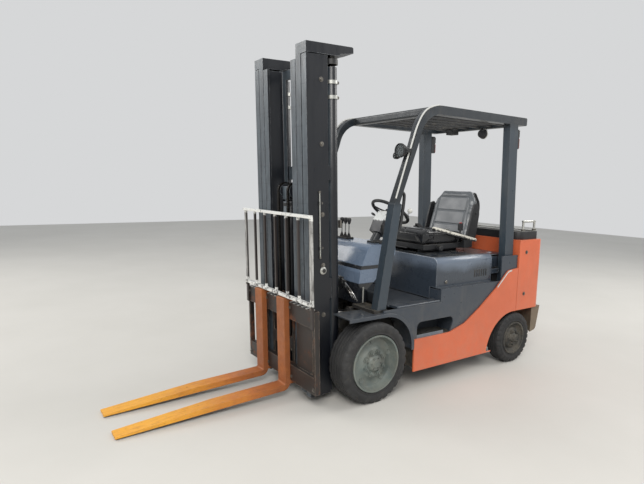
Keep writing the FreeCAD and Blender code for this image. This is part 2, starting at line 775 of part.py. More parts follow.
def counterweight():
    """Side outline and plan outline, both carried through, keep what they share."""
    side = profile("weight_side", "YZ", [
        (of.seam, of.weight_low), (of.tail - 30, of.weight_low, 40), (of.tail, of.weight_low + 120, 60),
        (of.tail, of.weight_high - 140, 120), (of.tail - 60, of.weight_high, 60), (of.seam, of.weight_high)],
        (-of.body_half_width, of.body_half_width))
    plan = profile("weight_plan", "XY", [
        (-of.body_half_width, of.seam), (of.body_half_width, of.seam), (of.body_half_width, of.tail - 90, 60),
        (of.body_half_width - 80, of.tail, 110), (80 - of.body_half_width, of.tail, 110),
        (-of.body_half_width, of.tail - 90, 60)], (of.weight_low - 5, of.weight_high + 5))
    block = common("weight_block", side, plan)
    grille = profile("grille_recess", "XZ", rounded_rectangle((-215, 215), (640, 880), 20), (of.tail - 120, of.tail + 20))
    jaw = box("jaw", (-65, 65), (of.tail - 105, of.tail + 20), (470, 540))
    grip = box("grip_recess", (-50, 50), (of.tail - 95, of.tail + 20), (570, 625))
    bore = rod("tow_bore", "Z", (0, of.tail - 55, of.weight_low - 10), 160, 16 + of.play)
    slats = [box("grille_slat_%d" % i, (-220, 220), (of.tail - 121, of.tail - 40), (680 + 45 * i, 694 + 45 * i))
             for i in range(4)]
    relief = box("saddle_relief", (-of.rail_inside - of.play, of.rail_inside + of.play),
                 (of.boss_place, saddle_rear + of.play), (of.weight_low - 10, saddle_high + of.play))
    return fused("weight_fused", cut("weight_cut", block, grille, jaw, grip, bore, relief), *slats)


def tail_weight():
    """The dark lower tail behind the steered wheels, with a round well for each wheel's swing."""
    side = profile("tail_side", "YZ", [
        (of.wheelbase + 127, of.weight_low - of.play), (of.wheelbase + 127, 300), (of.wheelbase + 217, of.tail_low, 30),
        (of.tail - 60, of.tail_low + 20, 40),
        (of.tail - 20, of.weight_low - of.play)], (-of.body_half_width + 15, of.body_half_width - 15))
    wells = [rod("well_" + name, "Z", (sign * of.kingpin_place, of.wheelbase, of.tail_low - 50), 400,
                 of.steer_well_radius) for name, sign in (("left", 1), ("right", -1))]
    return cut("tail_cut", side, *wells)


on_truck("counterweight", counterweight())
on_truck("tail_weight", tail_weight())


def rear_cover():
    """The black cover on the counterweight's top."""
    outline = rounded_rectangle((-of.body_half_width + 25, of.body_half_width - 25), (of.seam + 20, of.tail - 75), 60)
    return profile("cover_block", "XY", outline, (of.weight_high + of.play, of.weight_high + 62))


def tank_bracket():
    """Bent-tube hoops at both sides of the cover, joined by two flat straps."""
    top = of.weight_high + 62 + of.play
    front, rear = of.seam + 110, of.tail - 110
    reach = of.body_half_width - 60
    pieces = []
    for side, sign in (("left", 1), ("right", -1)):
        for tag, y in (("front", front), ("rear", rear)):
            pieces.append(rod("hoop_post_%s_%s" % (side, tag), "Z", (sign * reach, y, top), 80, 9))
        pieces.append(rod("hoop_top_" + side, "Y", (sign * reach, front - 9, top + 80), rear - front + 18, 9))
    for tag, y in (("front", front), ("rear", rear)):
        pieces.append(box("strap_" + tag, (-reach - 9, reach + 9), (y - 20, y + 20), (top, top + 6)))
    return fused("tank_bracket_fused", *pieces)


on_truck("rear_cover", rear_cover())
on_truck("tank_bracket", tank_bracket())


def tow_pin():
    shaft = rod("tow_shaft", "Z", (0, of.tail - 55, of.weight_low + 2), 150, 16)
    head = rod("tow_head", "Z", (0, of.tail - 55, 570 + of.play), 12, 26)
    return fused("tow_pin_fused", shaft, head)


def rear_deck():
    """The fixed cover between hood and counterweight, inside the rear pillars."""
    half = of.hood_notch_inside
    low = of.rail_high + 30 + of.play
    outer = profile("deck_outer", "XZ", [(-half, low), (half, low),
                                         (half, of.deck_high, 40), (-half, of.deck_high, 40)],
                    (of.deck_front, of.seam - of.play))
    hollow = box("deck_hollow", (8 - half, half - 8), (of.deck_front - 10, of.seam - 8),
                 (of.rail_high, of.deck_high - 8))
    return cut("deck_cut", outer, hollow)


on_truck("rear_deck", rear_deck())
on_truck("tow_pin", tow_pin())


def engine():
    half = of.rail_inside - 50
    return box("engine_block", (-half, half), (of.hood_front + 80, of.box_rear + 55),
               (of.rail_low + of.play, of.hood_high - 105))


on_truck("engine", engine())


# Axles.

def drive_axle():
    """A straight tube with a bowl in its middle and a flange at each hub."""
    hub = of.drive_tyre_outer - 60 - of.play
    flange = of.tyre_inside + 18
    bowl = of.arm_place_x - 67
    half = [(0, 0), (hub, 0), (hub, 60), (flange, 60), (flange, 92), (flange - 18, 92),
            (flange - 18, of.drive_tube_radius), (bowl, of.drive_tube_radius), (bowl * 11 / 15, of.bowl_radius - 10),
            (bowl * 8 / 15, of.bowl_radius), (0, of.bowl_radius)]
    arm = turned("axle_half", half)
    return fused("axle_fused", arm, mirrored("axle_half_right", arm))


on_wheel("drive_axle", drive_axle(), 0, 0, axle_height)


def steer_axle():
    """A box beam hung on a round boss, with a fork at each end for the kingpin and a cylinder behind."""
    z = of.steer_tyre_radius
    high = of.steer_beam_height / 2
    deep = of.steer_beam_depth / 2
    y = of.wheelbase
    end = of.kingpin_place
    beam = box("steer_beam", (-end + 60, end - 60), (y - deep, y + deep), (z - high, z + high))
    boss = rod("steer_boss", "Y", (0, of.boss_place, z), 170, of.steer_boss_radius)
    forks = []
    for side, sign in (("left", 1), ("right", -1)):
        x0 = of.kingpin_place - 62 if sign > 0 else -(of.kingpin_place + 34)
        for tag, z0 in (("top", z + high - 24), ("low", z - high)):
            ear = box("ear_%s_%s" % (side, tag), (x0, x0 + 96), (y - 40, y + 40), (z0, z0 + 24))
            forks.append(ear)
        forks.append(rod("kingpin_" + side, "Z", (sign * end, y, z - high), of.steer_beam_height, of.kingpin_radius))
    barrel = rod("steer_cylinder", "X", (-115, y + deep + 34, z), 230, 32)
    stub = rod("steer_rods", "X", (-140, y + deep + 34, z), 280, 14)
    mounts = [box("cylinder_mount_%d" % i, (x, x + 30), (y + deep - 2, y + deep + 10), (z - 30, z + 30))
              for i, x in enumerate((-100, 70))]
    return fused("steer_axle_fused", beam, boss, barrel, stub, *forks, *mounts)


on_truck("steer_axle", steer_axle())


def knuckle(side, sign):
    """The block that turns on the kingpin and carries the wheel's spindle."""
    z = of.steer_tyre_radius
    inside = of.steer_beam_height / 2 - 24 - 1
    block = rod("knuckle_block_" + side, "Z", (sign * of.kingpin_place, of.wheelbase, z - inside), inside * 2, 33)
    spindle_root = of.kingpin_place + 20
    length = of.steer_tyre_outer - 45 - spindle_root
    start = spindle_root if sign > 0 else -(spindle_root + length)
    spindle = rod("spindle_" + side, "X", (start, of.wheelbase, z), length, of.spindle_radius)
    bore = rod("knuckle_bore_" + side, "Z", (sign * of.kingpin_place, of.wheelbase, z - inside - 1), inside * 2 + 2,
               of.kingpin_radius + of.pin_gap)
    arm = box("steer_arm_" + side, (sign * of.kingpin_place - 12, sign * of.kingpin_place + 12),
              (of.wheelbase + 28, of.wheelbase + 50), (z - 12, z + 12))
    return cut("knuckle_cut_" + side, fused("knuckle_body_" + side, block, spindle, arm), bore)


for side, sign in (("left", 1), ("right", -1)):
    on_truck("knuckle_" + side, knuckle(side, sign))


# Wheels: drawn about their own centres, outer face towards +X, and turned over for the right side.

def drive_tyre_outline():
    """A band of rubber with bevelled shoulders."""
    half, radius, seat = of.drive_tyre_width / 2, of.drive_tyre_radius, of.drive_rim_radius
    return [(-half, seat), (half, seat), (half, radius - 14), (half - 10, radius), (10 - half, radius),
            (-half, radius - 14)]


def steer_tyre_outline():
    """A smaller band with square shoulders."""
    half = of.steer_tyre_width / 2
    return rectangle((-half, half), (of.steer_rim_radius, of.steer_tyre_radius))


def drive_rim_outline():
    """Rim band, a dished disc and the hub's cap, as one turned section."""
    half = of.drive_tyre_width / 2
    out = of.drive_rim_radius - of.play
    inside = out - of.rim_band
    return [(-half + 4, inside), (-half + 4, out), (half - 2, out), (half - 2, inside), (half - 30, inside - 3),
            (half - 64, inside - 18), (half - 58, 92), (half - 38, 80), (half - 24, 58), (half - 18, 0),
            (half - 60, 0), (half - 60, 66), (half - 80, 66), (half - 80, inside)]


def steer_rim_outline():
    half = of.steer_tyre_width / 2
    out = of.steer_rim_radius - of.play
    inside = out - of.rim_band
    bore = of.spindle_radius + of.pin_gap
    return [(-half + 3, inside), (-half + 3, out), (half - 2, out), (half - 2, inside), (half - 28, inside - 3),
            (half - 40, inside - 16), (half - 34, 60), (half - 14, 46), (half - 12, 0), (half - 36, 0),
            (half - 36, bore), (-half + 25, bore), (-half + 25, 44), (half - 52, 44), (half - 52, inside)]


WHEELS = (
    # name, left centre x, y, z, tyre section, rim section
    ("drive", of.drive_tyre_outer - of.drive_tyre_width / 2, 0, of.drive_tyre_radius, drive_tyre_outline,
     drive_rim_outline),
    ("steer", of.steer_tyre_outer - of.steer_tyre_width / 2, of.wheelbase, of.steer_tyre_radius, steer_tyre_outline,
     steer_rim_outline),
)
for name, x, y, z, tyre_section, rim_section in WHEELS:
    for side, sign in (("left", 1), ("right", -1)):
        tyre = turned("%s_tyre_body_%s" % (name, side), tyre_section())
        disc = turned("%s_rim_body_%s" % (name, side), rim_section())
        if sign < 0:
            tyre = mirrored("%s_tyre_over" % name, tyre)
            disc = mirrored("%s_rim_over" % name, disc)
        on_wheel("%s_tyre_%s" % (name, side), tyre, sign * x, y, z)
        on_wheel("%s_rim_%s" % (name, side), disc, sign * x, y, z)


# Hood and seat.

def hood():
    """An upturned tray open below and behind, with its rear corners let in for the pillars."""
    half = of.hood_half_width
    outer = profile("hood_outer", "XZ", [(-half, hood_low), (half, hood_low), (half, of.hood_high, 45),
                                         (-half, of.hood_high, 45)], (of.hood_front, of.hood_rear))
    skin = of.hood_skin
    inner = profile("hood_inner", "XZ", [(skin - half, hood_low - 5), (half - skin, hood_low - 5),
                                         (half - skin, of.hood_high - skin, 37),
                                         (skin - half, of.hood_high - skin, 37)],
                    (of.hood_front + skin, of.hood_rear + 5))
    notches, arms = [], []
    for side, sign in (("left", 1), ("right", -1)):
        notches.append(box("hood_notch_" + side, span(sign, of.hood_notch_inside, half + 5),
                           (of.hood_rear_side, of.hood_rear + 10), (hood_low - 5, of.hood_high + 5)))
        xs = span(sign, half - skin - 12, half - skin)
        arm = box("hinge_arm_" + side, xs, (of.hood_rear_side - 90, of.hinge_y + 16), (of.hinge_z - 18, of.hinge_z + 18))
        hole = rod("hinge_hole_" + side, "X", (xs[0] - 1, of.hinge_y, of.hinge_z), 14,
                   of.hinge_pin_radius + of.pin_gap)
        arms.append(cut("hinge_arm_bored_" + side, arm, hole))
    apron = box("hood_apron", (60 - half, half - 60), (of.hood_front, of.hood_front + skin),
                (of.floor_height + 6, hood_low + 5))
    return fused("hood_fused", cut("hood_cut", outer, inner, *notches), apron, *arms)


on_truck("hood", hood())


def seat_base():
    """Slide rails and the moulded pan that carries the cushion."""
    runners = [box("runner_" + tag, (x, x + 36), (of.cushion_front + 60, of.cushion_rear - 20),
                   (of.hood_high + of.play, of.hood_high + 22)) for tag, x in (("left", 130), ("right", -166))]
    pan = box("seat_pan", (-of.seat_half_width + 15, of.seat_half_width - 15),
              (of.cushion_front + 30, of.cushion_rear + 40), (of.hood_high + 22, of.cushion_low - of.play))
    return fused("seat_base_fused", pan, *runners)


def seat_cushion():
    outline = [(of.cushion_front, of.cushion_low, 30), (of.cushion_rear, of.cushion_low),
               (of.cushion_rear, of.cushion_high - 30, 20), (of.cushion_front + 40, of.cushion_high, 60),
               (of.cushion_front, of.cushion_high - 50, 30)]
    return profile("cushion_block", "YZ", outline, (-of.seat_half_width, of.seat_half_width))


def seat_back():
    """A leaning pad, broad at the hips and narrower at the top."""
    side = profile("back_side", "YZ", [
        (of.cushion_rear + of.play, of.cushion_low), (of.cushion_rear + 110, of.cushion_low, 20),
        (of.cushion_rear + 215, of.seat_back_high - 20, 40), (of.cushion_rear + 130, of.seat_back_high, 40)],
        (-of.seat_half_width, of.seat_half_width))
    face = profile("back_face", "XZ", [
        (-of.seat_half_width, of.cushion_low), (of.seat_half_width, of.cushion_low),
        (of.seat_half_width, of.seat_back_high - 150, 60), (of.seat_half_width - 90, of.seat_back_high, 70),
        (90 - of.seat_half_width, of.seat_back_high, 70), (-of.seat_half_width, of.seat_back_high - 150, 60)],
        (of.cushion_rear - 10, of.cushion_rear + 260))
    return common("back_common", side, face)


on_truck("seat_base", seat_base())
on_truck("seat_cushion", seat_cushion())
on_truck("seat_back", seat_back())


def hip_rests():
    """A sloping bar at each side of the seat, on a post that stands on the pan's end."""
    x0 = of.seat_half_width + 4
    bar = profile("hip_bar", "YZ", [
        (of.cushion_front + 90, of.cushion_high + 20, 10), (of.cushion_rear + 90, of.cushion_low + 30, 10),
        (of.cushion_rear + 90, of.cushion_low + 2, 8), (of.cushion_front + 90, of.cushion_high - 8, 10)],
        (x0, x0 + 26))
    post = box("hip_post", (of.seat_half_width - 15, x0 + 26), (of.cushion_rear - 60, of.cushion_rear + 38),
               (of.hood_high + 26, of.cushion_low - 6))
    link = box("hip_link", (x0, x0 + 26), (of.cushion_rear - 60, of.cushion_rear + 38),
               (of.cushion_low - 6, of.cushion_low + 22))
    return pair("hip_pair", fused("hip_rest", bar, post, link))


on_truck("hip_rests", hip_rests())


# Steering wheel and controls.

def steering_column():
    """The column's tube with a housing round its upper end."""
    def spot(down, across):
        lean = of.column_lean
        return (of.wheel_hub_y - sine(lean) * down + cosine(lean) * across,
                of.wheel_hub_z - cosine(lean) * down - sine(lean) * across)

    tube = leaning_rod("column_tube", column_spot(of.column_length), -of.column_lean, of.column_length - 23,
                       of.column_radius)
    shroud = profile("column_shroud", "YZ", [spot(38, -58), spot(34, 48), spot(110, 58), spot(205, 44),
                                             spot(205, -44), spot(110, -64)], (-58, 58))
    return fused("column_fused", tube, shroud)


on_truck("steering_column", steering_column())


def steering_wheel():
    """A rim, three spokes and a hub, drawn flat and then leant to the column."""
    rim = doc.addObject("Part::Torus", "steering_rim")
    bind(rim, Radius1=of.steering_radius, Radius2=of.steering_grip)
    hub = rod("steering_hub", "Z", (0, 0, -22), 30, 38)
    spokes = []
    for i, angle in enumerate((90, 210, 330)):
        spoke = box("spoke_%d" % i, (20, of.steering_radius), (-11, 11), (-5, 5))
        spoke.Placement.Rotation = FreeCAD.Rotation(Vector(0, 0, 1), angle)
        turn_about_origin(spoke, angle)
        spokes.append(spoke)
    return fused("steering_wheel_fused", rim, hub, *spokes)


def turn_about_origin(block, angle):
    """A block drawn on +X is carried round the Z axis."""
    c, s = math.cos(math.radians(angle)), math.sin(math.radians(angle))
    at(block, sized(20 * c + 11 * s), sized(20 * s - 11 * c), -5)


wheel = steering_wheel()
wheel.Placement.Rotation = FreeCAD.Rotation(Vector(1, 0, 0), 10)
bind(wheel, Placement__Rotation__Angle=-of.column_lean)
on_wheel("steering_wheel", wheel, 0, of.wheel_hub_y, of.wheel_hub_z)


def control_levers():
    """Three levers on a low box at the right of the wheel, each with a tapered grip."""
    y, high = of.cowl_front + 190, of.cowl_high
    pieces = []
    for i in range(3):
        x = -225.0 + 45 * i
        pieces.append(rod("lever_%d" % i, "Z", (x, y, high), 110, 6))
        pieces.append(cone("lever_grip_%d" % i, "Z", (x, y, high + 105), 45, 10, 17))
    base = box("lever_base", (-252, -110), (y - 35, y + 35), (high + of.play, high + 14))
    return fused("levers_fused", base, *pieces)


on_truck("control_levers", control_levers())


# Mast.

def channel(name, outer_x, low, high):
    """A rail open towards the middle: web outside, a flange at front and rear."""
    front, rear = -of.rail_front, rail_rear
    web, flange = of.rail_web, of.rail_flange
    inner_x = outer_x - flange
    outline = [(outer_x, front), (outer_x, rear), (inner_x, rear), (inner_x, rear - web),
               (outer_x - web, rear - web, 6), (outer_x - web, front + web, 6), (inner_x, front + web),
               (inner_x, front)]
    return profile(name, "XY", outline, (low, high))


def rails(name, outer_x, low, high):
    left = channel(name + "_left", outer_x, low, high)
    return left, mirrored(name + "_right", left)


def mast_outer():
    """Outer rails, their ties behind, the axle brackets and the ears for the tilt cylinders."""
    pair_of_rails = rails("outer_rail", of.outer_half_width, of.outer_low, of.outer_high)
    half = of.outer_half_width
    ties = [box("outer_tie_%d" % i, (-half, half), (rail_rear, rail_rear + 14), zs)
            for i, zs in enumerate(((-190, -70), (430, 560), (1180, 1270)))]
    brackets, ears = [], []
    for side, sign in (("left", 1), ("right", -1)):
        x0 = sign * of.arm_place_x - 20
        arm = profile("axle_arm_" + side, "YZ", [(rail_rear + 14, -150), (0, -95, 60), (95, -60, 60), (95, 60, 60),
                                                 (0, 95, 60), (rail_rear + 14, 150)], (x0, x0 + 40))
        bore = rod("axle_arm_bore_" + side, "X", (x0 - 1, 0, 0), 42, of.drive_tube_radius + of.pin_gap)
        brackets.append(cut("axle_bracket_" + side, arm, bore))
        middle = sign * of.tilt_place_x
        near, far = middle - of.eye_ear_width / 2, middle + of.eye_ear_width / 2
        low, high = of.tilt_eye_z - of.eye_ear_rise, of.tilt_eye_z + of.eye_ear_rise
        ear = box("eye_ear_" + side, (near, far), (rail_rear + 14, -of.tilt_eye_y + 22), (low, high))
        slot = box("eye_slot_" + side, (middle - of.eye_slot_width / 2, middle + of.eye_slot_width / 2),
                   (rail_rear + 13, -of.tilt_eye_y + 30), (low - 4, high + 4))
        pin = rod("eye_pin_" + side, "X", (near, -of.tilt_eye_y, of.tilt_eye_z), of.eye_ear_width, of.tilt_pin_radius)
        ears.append(fused("eye_" + side, cut("eye_ears_" + side, ear, slot), pin))
        ears.append(box("eye_plate_" + side, (near, far), (rail_rear, rail_rear + 14), (low, 440)))
        x_lift = sign * of.lift_place_x
        ears.append(box("lift_foot_" + side, (x_lift - 36, x_lift + 36), (rail_rear, -of.lift_place_y + 36),
                        (-80, -60 - of.play)))
        ears.append(box("lift_clamp_" + side, (x_lift - 15, x_lift + 15),
                        (rail_rear, -of.lift_place_y - of.lift_barrel_radius - of.play), (1190, 1260)))
    return fused("mast_outer_fused", *pair_of_rails, *ties, *brackets, *ears)


on_mast("mast_outer", mast_outer())


def end_rollers(name, half, low):
    """Rollers on the foot of a moving stage, which run in the next rail out."""
    y = -of.rail_front + of.rail_depth / 2
    length = of.nest_gap + of.rail_flange - of.rail_web - of.running_gap
    radius = of.rail_depth / 2 - of.rail_web - of.pin_gap
    return [rod("%s_%s" % (name, side), "X", (half if sign > 0 else -half - length, y, low + 60), length, radius)
            for side, sign in (("left", 1), ("right", -1))]


def mast_middle():
    """Middle rails, foot rollers and a top beam that reaches back over the lift cylinders."""
    pair_of_rails = rails("middle_rail", of.middle_half_width, of.middle_low, of.outer_high)
    rollers = end_rollers("middle_roller", of.middle_half_width, of.middle_low)
    inner = of.middle_half_width - of.rail_flange
    low, high = of.outer_high + 4, of.top_beam_high
    cap_outline = [(-of.rail_front, low), (-of.lift_place_y - 50, low), (-of.top_beam_rear, low + 26),
                   (-of.top_beam_rear, high, 12), (-of.rail_front, high)]
    top = [profile("middle_cap_" + side, "YZ", cap_outline, span(sign, inner, of.outer_half_width))
           for side, sign in (("left", 1), ("right", -1))]
    posts = [box("middle_post_" + side, span(sign, inner, of.middle_half_width), (-of.rail_front, rail_rear),
                 (of.outer_high, low)) for side, sign in (("left", 1), ("right", -1))]
    pads = [box("middle_pad_" + side, span(sign, of.lift_place_x - 40, of.outer_half_width),
                (-of.lift_place_y - 50, -of.lift_place_y + 40), (low, low + 30))
            for side, sign in (("left", 1), ("right", -1))]
    beam = box("middle_beam", (-of.outer_half_width, of.outer_half_width), (-of.top_beam_rear - 60, -of.top_beam_rear - 6),
               (low + 26, high - 6))
    return fused("mast_middle_fused", *pair_of_rails, *top, *posts, *pads, *rollers, beam)


def mast_inner():
    pair_of_rails = rails("inner_rail", of.inner_half_width, of.inner_low, of.inner_high)
    half = of.inner_half_width
    ties = [box("inner_tie_%d" % i, (-half, half), (rail_rear - of.rail_web, rail_rear), zs)
            for i, zs in enumerate(((of.inner_low, of.inner_low + 90), (of.inner_high - 60, of.inner_high)))]
    foot = box("free_foot", (-70, 70), (-of.free_place_y - 50, rail_rear - of.rail_web),
               (of.inner_low, of.inner_low + 30))
    rollers = end_rollers("inner_roller", of.inner_half_width, of.inner_low)
    return fused("mast_inner_fused", *pair_of_rails, *ties, *rollers, foot)


on_mast("mast_middle", mast_middle())
on_mast("mast_inner", mast_inner())


def lift_cylinders():
    pieces = []
    for side, sign in (("left", 1), ("right", -1)):
        x = sign * of.lift_place_x
        barrel = rod("lift_barrel_" + side, "Z", (x, -of.lift_place_y, -60), of.outer_high - 60 + 60,
                     of.lift_barrel_radius)
        bore = rod("lift_bore_" + side, "Z", (x, -of.lift_place_y, -40), of.outer_high + 60,
                   of.lift_rod_radius + of.pin_gap)
        pieces.append(cut("lift_tube_" + side, barrel, bore))
    return together("lift_cylinder_set", *pieces)


def lift_rods():
    pieces = [rod("lift_rod_" + side, "Z", (sign * of.lift_place_x, -of.lift_place_y, -35),
                  of.outer_high + 4 - of.play + 35, of.lift_rod_radius) for side, sign in (("left", 1), ("right", -1))]
    return together("lift_rod_set", *pieces)


on_mast("lift_cylinders", lift_cylinders())
on_mast("lift_rods", lift_rods())


def free_cylinder():
    low = of.inner_low + 30 + of.play
    barrel = rod("free_barrel", "Z", (0, -of.free_place_y, low), of.free_barrel_high - low, of.free_barrel_radius)
    bore = rod("free_bore", "Z", (0, -of.free_place_y, low + 20), of.free_barrel_high - low,
               of.free_rod_radius + of.pin_gap)
    return cut("free_tube", barrel, bore)


def crosshead():
    """The rod that rises from the middle cylinder, its yoke and two sheaves."""
    y = -of.free_place_y
    z = of.free_barrel_high
    ram = rod("free_ram", "Z", (0, y, of.inner_low + 60), z + 20 - of.inner_low - 60, of.free_rod_radius)
    yoke = box("yoke", (-of.sheave_place_x + 18, of.sheave_place_x - 18), (y - 30, y + 30), (z + 14, z + 100))
    shaft = rod("sheave_shaft", "X", (-of.sheave_place_x - 16, y, z + 70), of.sheave_place_x * 2 + 32, 14)
    wheels = [rod("sheave_" + tag, "X", (x, y, z + 70), 24, of.sheave_radius)
              for tag, x in (("left", of.sheave_place_x - 12), ("right", -of.sheave_place_x - 12))]
    return fused("crosshead_fused", ram, yoke, shaft, *wheels)


on_mast("free_lift_cylinder", free_cylinder())
on_mast("crosshead", crosshead())


def lift_chains():
    """One chain a side: up from the carriage, over its sheave and down behind to its anchor."""
    y = -of.free_place_y
    z = of.free_barrel_high + 70
    inner = of.sheave_radius + of.play
    outer = inner + of.chain_thickness
    pieces = []
    for side, sign in (("left", 1), ("right", -1)):
        x0 = sign * of.sheave_place_x - of.chain_width / 2
        front = box("chain_front_" + side, (x0, x0 + of.chain_width), (y - outer, y - inner), (90, z))
        rear = box("chain_rear_" + side, (x0, x0 + of.chain_width), (y + inner, y + outer), (0, z))
        ring = rod("chain_ring_" + side, "X", (x0, y, z), of.chain_width, outer)
        hole = rod("chain_hole_" + side, "X", (x0 - 1, y, z), of.chain_width + 2, inner)
        keep = box("chain_keep_" + side, (x0 - 1, x0 + of.chain_width + 1), (y - 100, y + 100), (z, z + 100))
        over = common("chain_over_" + side, cut("chain_band_" + side, ring, hole), keep)
        pieces.append(fused("chain_" + side, front, rear, over))
    return together("chain_set", *pieces)


on_mast("lift_chains", lift_chains())


def carriage():
    """Two bars across, joined behind by plates that carry the rollers inside the inner rails."""
    half = of.carriage_half_width
    rear = -of.bar_rear
    front = rear - of.bar_thickness
    bars = [box("fork_bar_" + tag, (-half, half), (front, rear), zs)
            for tag, zs in (("low", (of.carriage_low, of.carriage_low + of.bar_height)),
                            ("high", (of.carriage_high - of.bar_height, of.carriage_high)))]
    pieces = []
    plate_out = of.plate_outside
    for side, sign in (("left", 1), ("right", -1)):
        x0 = plate_out - 22 if sign > 0 else -plate_out
        pieces.append(box("roller_plate_" + side, (x0, x0 + 22), (rear, -265), (of.carriage_low, of.carriage_high)))
        for tag, z in (("low", of.carriage_low + 60), ("high", of.carriage_high - 60)):
            length = of.rail_flange - of.rail_web
            start = x0 + 22 if sign > 0 else x0 - length
            y = -of.rail_front + of.rail_depth / 2
            pieces.append(rod("roller_%s_%s" % (side, tag), "X", (start, y, z), length,
                              of.rail_depth / 2 - of.rail_web - of.pin_gap))
        x_chain = sign * of.sheave_place_x
        for tag, dx in (("in", -27), ("out", 15)):
            pieces.append(box("anchor_%s_%s" % (side, tag), (x_chain + dx, x_chain + dx + 12),
                              (rear, -of.free_place_y - of.sheave_radius - 2), (60, 140)))
        pieces.append(box("end_plate_" + side, span(sign, half - 16, half), (front, rear),
                          (of.carriage_low, of.carriage_high)))
        pieces.append(box("mid_plate_" + side, span(sign, plate_out + 60, half - 60), (rear - 12, rear),
                          (of.carriage_low, of.carriage_high)))
    anchor_bar = box("anchor_bar", (-plate_out, plate_out), (rear, rear + 10), (60, 140))
    return fused("carriage_fused", *bars, *pieces, anchor_bar)


on_mast("carriage", carriage())


def backrest():
    """A frame of flat bar with upright bars between, standing on the upper fork bar."""
    half = of.carriage_half_width
    y0 = -of.bar_rear - of.bar_thickness - of.play - 14
    y1 = y0 + 14
    low, high, bar = of.backrest_low, of.backrest_high, of.backrest_bar
    pieces = [box("rest_top", (-half, half), (y0 - 12, y1), (high - bar, high)),
              box("rest_low", (-half, half), (y0 - 12, y1), (low, low + bar))]
    for side, sign in (("left", 1), ("right", -1)):
        pieces.append(box("rest_leg_" + side, span(sign, half - 26, half), (y0, y1),
                          (of.carriage_high - of.bar_height, high)))
    count = 5
    for i in range(count):
        x = (half - 13) * (2.0 * (i + 1) / (count + 1) - 1)
        pieces.append(box("rest_bar_%d" % i, (x - 9, x + 9), (y0, y1), (low, high)))
    return fused("backrest_fused", *pieces)


on_mast("backrest", backrest())


def fork(name, place):
    """An L of flat bar: a hooked shank and a blade that thins to its tip."""
    low = of.fork_low
    rear = fork_face + of.fork_thickness - of.play
    outline = [(rear, low, 55), (rear, of.fork_shank_high), (fork_face, of.fork_shank_high),
               (fork_face, low + of.fork_thickness, 12), (fork_face - of.fork_length * 0.45, low + of.fork_thickness),
               (tip_y, low + of.fork_tip), (tip_y, low)]
    blade = profile(name + "_blade", "YZ", outline, (place - of.fork_width / 2, place + of.fork_width / 2))
    hook = box(name + "_hook", (place - of.fork_width / 2, place + of.fork_width / 2),
               (fork_face, -of.bar_rear - 4), (of.carriage_high + of.play, of.carriage_high + 30))
    lip = box(name + "_lip", (place - of.fork_width / 2, place + of.fork_width / 2),
              (fork_face + 10, -of.bar_rear - 4), (of.carriage_low - 26, of.carriage_low - of.play))
    return fused(name + "_fused", blade, hook, lip)


for name, place in (("fork_left", of.fork_left_place), ("fork_right", of.fork_right_place)):
    on_mast(name, fork(name, place))


# Tilt cylinders: the barrel turns on the frame, the rod's eye meets the mast's pin.

eye_y = -of.tilt_eye_y * cosine(of.mast_lean) - of.tilt_eye_z * sine(of.mast_lean)
eye_z = axle_height - of.tilt_eye_y * sine(of.mast_lean) + of.tilt_eye_z * cosine(of.mast_lean)
tilt_length = math.hypot(eye_y.value - of.tilt_foot_y.value, eye_z.value - of.tilt_foot_z.value)
tilt_angle = math.degrees(math.atan2(of.tilt_foot_y.value - eye_y.value, eye_z.value - of.tilt_foot_z.value))


def tilt_lug(name, x, z, radius):
    """The round eye at one end of a tilt cylinder, and the hole for its pin."""
    start = x - of.tilt_lug_width / 2
    lug = rod(name + "_lug", "X", (start, 0, z), of.tilt_lug_width, radius)
    hole = rod(name + "_hole", "X", (start - 1, 0, z), of.tilt_lug_width + 2, of.tilt_pin_radius + of.pin_gap)
    return lug, hole


def tilt_barrels():
    pieces = []
    for side, sign in (("left", 1), ("right", -1)):
        x = sign * of.tilt_place_x
        tube = rod("tilt_tube_" + side, "Z", (x, 0, of.tilt_neck_length), of.tilt_barrel_length, of.tilt_barrel_radius)
        bore = rod("tilt_bore_" + side, "Z", (x, 0, of.tilt_neck_length * 2), of.tilt_barrel_length,
                   of.tilt_rod_radius + of.pin_gap)
        lug, hole = tilt_lug("barrel_" + side, x, 0, 28)
        neck = box("tilt_neck_" + side, (x - of.tilt_lug_width / 2, x + of.tilt_lug_width / 2), (-24, 24),
                   (0, of.tilt_neck_length + 4))
        pieces.append(cut("tilt_barrel_" + side, fused("tilt_barrel_body_" + side, tube, lug, neck), bore, hole))
    return together("tilt_barrel_set", *pieces)


def tilt_rods():
    pieces = []
    for side, sign in (("left", 1), ("right", -1)):
        x = sign * of.tilt_place_x
        ram = rod("tilt_ram_" + side, "Z", (x, 0, 130), tilt_length - 130 - 20, of.tilt_rod_radius)
        lug, hole = tilt_lug("rod_" + side, x, tilt_length, 26)
        pieces.append(cut("tilt_rod_" + side, fused("tilt_rod_body_" + side, ram, lug), hole))
    return together("tilt_rod_set", *pieces)


for label, thing in (("tilt_barrels", tilt_barrels()), ("tilt_rods", tilt_rods())):
    thing.Placement.Rotation = FreeCAD.Rotation(Vector(1, 0, 0), tilt_angle)
    node(at(thing, 0, shift + of.tilt_foot_y, of.tilt_foot_z), label)

doc.recompute()

